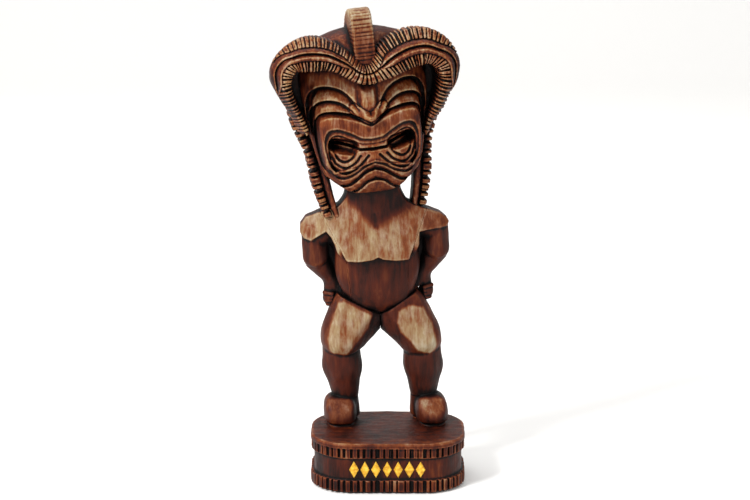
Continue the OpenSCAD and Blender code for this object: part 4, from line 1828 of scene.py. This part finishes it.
class Finish(Enum):
    """The finishes that the pieces take."""

    DARK = Wood("dark_wood", base=0.17, pale_gain=0.5, worn_gain=0.4)
    MID = Wood("mid_wood", base=0.27, streaks=0.26, worn_gain=0.24)
    PALE = Wood(
        "pale_wood", base=0.26, pale_gain=0.58, streaks=0.14, worn_gain=0.12,
        colours=("030101", "180705", "441709", "6e391c", "8d7656", "aca18a"))
    HEAD = Wood("head_wood", base=0.25, pale_gain=0.46, worn_gain=0.24, streaks=0.24)
    DOWEL = Wood("dowel_wood", base=0.66, streaks=0.2)
    GILT = Gilding()
    FELT = Felt()
    STEEL = Steel()

    def put_on(self, piece: bpy.types.Object) -> None:
        """Gives a piece this finish alone.

        Args:
            piece: the object to dress.
        """
        name = self.value.name + "_finish"
        made = bpy.data.materials.get(name)
        if made is None:
            made = self.value.dress()
            made.name = name
        piece.data.materials.clear()
        piece.data.materials.append(made)


# ---------- stage ----------

@dataclass(frozen=True)
class Lamp:
    """Square area light that faces the middle of the figure, in metres and watts."""

    name: str
    place: Point
    power: float
    size: float
    aim: Point = (0, 0, 0.15)

    def build(self) -> bpy.types.Object:
        """Adds the light to the scene.

        Returns:
            The light.
        """
        data = bpy.data.lights.new(self.name, "AREA")
        data.energy, data.size = self.power, self.size
        light = bpy.data.objects.new(self.name, data)
        light.location = self.place
        light.rotation_euler = (Vector(self.aim) - Vector(self.place)).to_track_quat("-Z", "Y").to_euler()
        bpy.context.scene.collection.objects.link(light)
        return light


@dataclass
class Studio:
    """Pale floor that sweeps up into a backdrop, soft lights, and the camera. Lengths are metres."""

    lamps: tuple[Lamp, ...] = (
        Lamp("key_light", (-1.05, -0.95, 1.3), 36, 0.4),
        Lamp("fill_light", (1.4, -1.3, 0.7), 4, 1.4),
        Lamp("top_light", (-0.2, 0.6, 1.7), 14, 1.2),
    )
    sky: float = 0.72
    reach: float = 3.0
    curve: float = 0.8
    behind: float = 1.6
    floor_colour: str = "f2f1ef"
    eye: Point = (-0.002632, -1.364128, 0.466907)
    tilt: float = math.radians(13)
    lens: float = 106.32
    sensor: float = 36.0
    shift: tuple[float, float] = (-0.011621333333333332, -0.0036813333333333333)
    sight: tuple[float, float] = (0.05, 20)

    def sweep(self) -> bpy.types.Object:
        """Makes the floor and backdrop as one curved sheet.

        Returns:
            The sheet.
        """
        angles = np.linspace(0, math.pi / 2, 24)
        turns = [(self.curve * math.sin(a), self.curve * (1 - math.cos(a))) for a in angles]
        back = self.behind
        profile = [(-self.reach, 0.0), *((back + y, z) for y, z in turns), (back + self.curve, self.reach)]
        points = [(x, y, z) for y, z in profile for x in (-self.reach, self.reach)]
        faces = [(2 * k, 2 * k + 1, 2 * k + 3, 2 * k + 2) for k in range(len(profile) - 1)]
        mesh = bpy.data.meshes.new("studio_floor")
        mesh.from_pydata(points, [], faces)
        mesh.shade_smooth()
        sheet = bpy.data.objects.new("studio_floor", mesh)
        bpy.context.scene.collection.objects.link(sheet)
        s = Shader("paper")
        paper = s.noise((0.02, 0.02, 0.02), 3)
        s.set(Base_Color=s.ramp(paper, ((0.3, self.floor_colour), (0.7, self.floor_colour))), Roughness=0.9)
        s.set(Specular_IOR_Level=0.2)
        sheet.data.materials.append(s.material)
        return sheet

    def build(self) -> None:
        """Sets up the floor, the lights, the surrounding light and the camera."""
        self.sweep()
        for lamp in self.lamps:
            lamp.build()
            log.info("%s: %g W", lamp.name, lamp.power)
        scene = bpy.context.scene
        scene.view_settings.view_transform = "Standard"
        world = bpy.data.worlds.new("studio")
        world.use_nodes = True
        background = world.node_tree.nodes["Background"]
        background.inputs["Color"].default_value = (1, 1, 1, 1)
        background.inputs["Strength"].default_value = self.sky
        scene.world = world
        data = bpy.data.cameras.new("camera")
        data.lens, data.sensor_width = self.lens, self.sensor
        data.shift_x, data.shift_y = self.shift
        data.clip_start, data.clip_end = self.sight
        camera = bpy.data.objects.new("camera", data)
        camera.location = self.eye
        camera.rotation_euler = (math.pi / 2 - self.tilt, 0, 0)
        scene.collection.objects.link(camera)
        scene.camera = camera


# ---------- the whole ----------

def mirror_name(name: str, side: int) -> str:
    """Name of a piece on one side."""
    return ("left_" if side > 0 else "right_") + name


@dataclass
class Tiki:
    """The whole figure: its carvings, its gilding and the parts taken over as they are."""

    torso: Torso = field(default_factory=lambda: Torso(
        "carved_torso", ("torso",), "pale_wood", Frame.FIGURE, (-38, -13, 98), (38, 34, 193), seed=11))
    metal_and_felt: dict[str, Finish] = field(
        default_factory=lambda: {"felt_pad": Finish.FELT, "foot_screws": Finish.STEEL})
    dowels: tuple[str, ...] = (
        "neck_dowel", "hip_dowels", "shoulder_dowels", "headdress_dowels", "crest_pins", "tress_pins",
        "hand_pins", "foot_dowels")

    def head_pieces(self) -> list[tuple[Carving, Finish]]:
        """Lists the carvings of the head's frame.

        Returns:
            Each carving with its finish.
        """
        head = Head(
            "carved_head", ("head",), "head_wood", Frame.HEAD, (-47, -27, 184), (47, 38, 294),
            gouge=(3.2, 3.2, 5.0), gouge_depth=0.22, seed=3)
        crest = Crest(
            "carved_crest", ("crest",), "pale_wood", Frame.HEAD, (-10, -20, 255), (10, 37, 306),
            gouge=(3.0, 3.0, 5.0), seed=5)
        out: list[tuple[Carving, Finish]] = [(head, Finish.HEAD), (crest, Finish.PALE)]
        for side in (1, -1):
            name = mirror_name("headdress", side)
            brim = Headdress(
                "carved_" + name, (name,), "dark_wood", Frame.HEAD, (-1, -29, 218), (60, 15, 293), side,
                step=0.42, gouge=(2.6, 2.6, 3.0), gouge_depth=0.2, seed=7 + side)
            name = mirror_name("tress", side)
            tress = Tress(
                "carved_" + name, (name,), "dark_wood", Frame.HEAD, (20, -3, 170), (55, 19, 245), side,
                step=0.42, gouge=(2.6, 2.6, 4.0), gouge_depth=0.2, seed=17 + side)
            out += [(brim, Finish.DARK), (tress, Finish.DARK)]
        return out

    def body_pieces(self) -> list[tuple[Carving, Finish]]:
        """Lists the carvings of the figure's frame.

        Returns:
            Each carving with its finish.
        """
        out: list[tuple[Carving, Finish]] = [(self.torso, Finish.PALE)]
        for side in (1, -1):
            name = mirror_name("leg", side)
            leg = Leg(
                "carved_" + name, (name,), "mid_wood", Frame.FIGURE, (-1, -8, 27), (44, 35, 129), side,
                seed=29 + side, torso=self.torso)
            name = mirror_name("arm", side)
            arm = Arm(
                "carved_" + name, (name,), "mid_wood", Frame.FIGURE, (17, -4, 104), (52, 32, 182), side,
                seed=23 + side, torso=self.torso, leg=leg)
            out += [(leg, Finish.PALE), (arm, Finish.PALE)]
        return out

    def plinth_pieces(self) -> list[tuple[Carving, Finish]]:
        """Lists the carvings of the row frame.

        Returns:
            The plinth with its finish.
        """
        plinth = Plinth(
            "carved_plinth", ("plinth",), "mid_wood", Frame.PLINTH, (-50.5, -37.5, 0), (50.5, 37.5, 34.5),
            gouge=(14.0, 5.0, 6.0), gouge_depth=0.3, seed=41)
        return [(plinth, Finish.MID)]

    def carve(self) -> None:
        """Carves every wooden piece, dresses it and ties it to the part."""
        head, body, plinth = self.head_pieces(), self.body_pieces(), self.plinth_pieces()
        near = [c for c, _ in head]
        groups = (
            (head, Surroundings(near, (-62, -30, 168), (62, 40, 308))),
            (body, Surroundings([c for c, _ in body] + near, (-62, -30, 29), (62, 40, 225))),
            (plinth, Surroundings([c for c, _ in plinth], (-54, -40, -4), (54, 40, 42))),
        )
        for pieces, around in groups:
            for carving, finish in pieces:
                self.tie(carving.carve(around), carving.nodes, finish)

    def gild(self) -> None:
        """Adds the row of gilded lozenges."""
        self.tie(Lozenges().build(), ("front_motif",), Finish.GILT)

    def tie(self, piece: bpy.types.Object, nodes: Sequence[str], finish: Finish) -> None:
        """Dresses a piece, hangs it on the body and reports it.

        Args:
            piece: the new object.
            nodes: names of the part's nodes that it stands for.
            finish: its finish.
        """
        finish.put_on(piece)
        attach(piece, BODY)
        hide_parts(*nodes)
        log.info("%s: %d faces, stands for %s", piece.name, len(piece.data.polygons), ", ".join(nodes))

    def dress_hidden(self) -> None:
        """Dresses the parts that are shown as they are: the felt, screws, dowels and pins."""
        for name in (*self.metal_and_felt, *self.dowels):
            self.metal_and_felt.get(name, Finish.DOWEL).put_on(frame["nodes"][name])
            log.info("%s: dressed", name)


def main() -> None:
    """Builds the figure and the studio."""
    logging.basicConfig(level=logging.INFO, format="%(name)s: %(message)s")
    figure = Tiki()
    figure.carve()
    figure.gild()
    figure.dress_hidden()
    Studio().build()


if __name__ == "__main__":
    main()
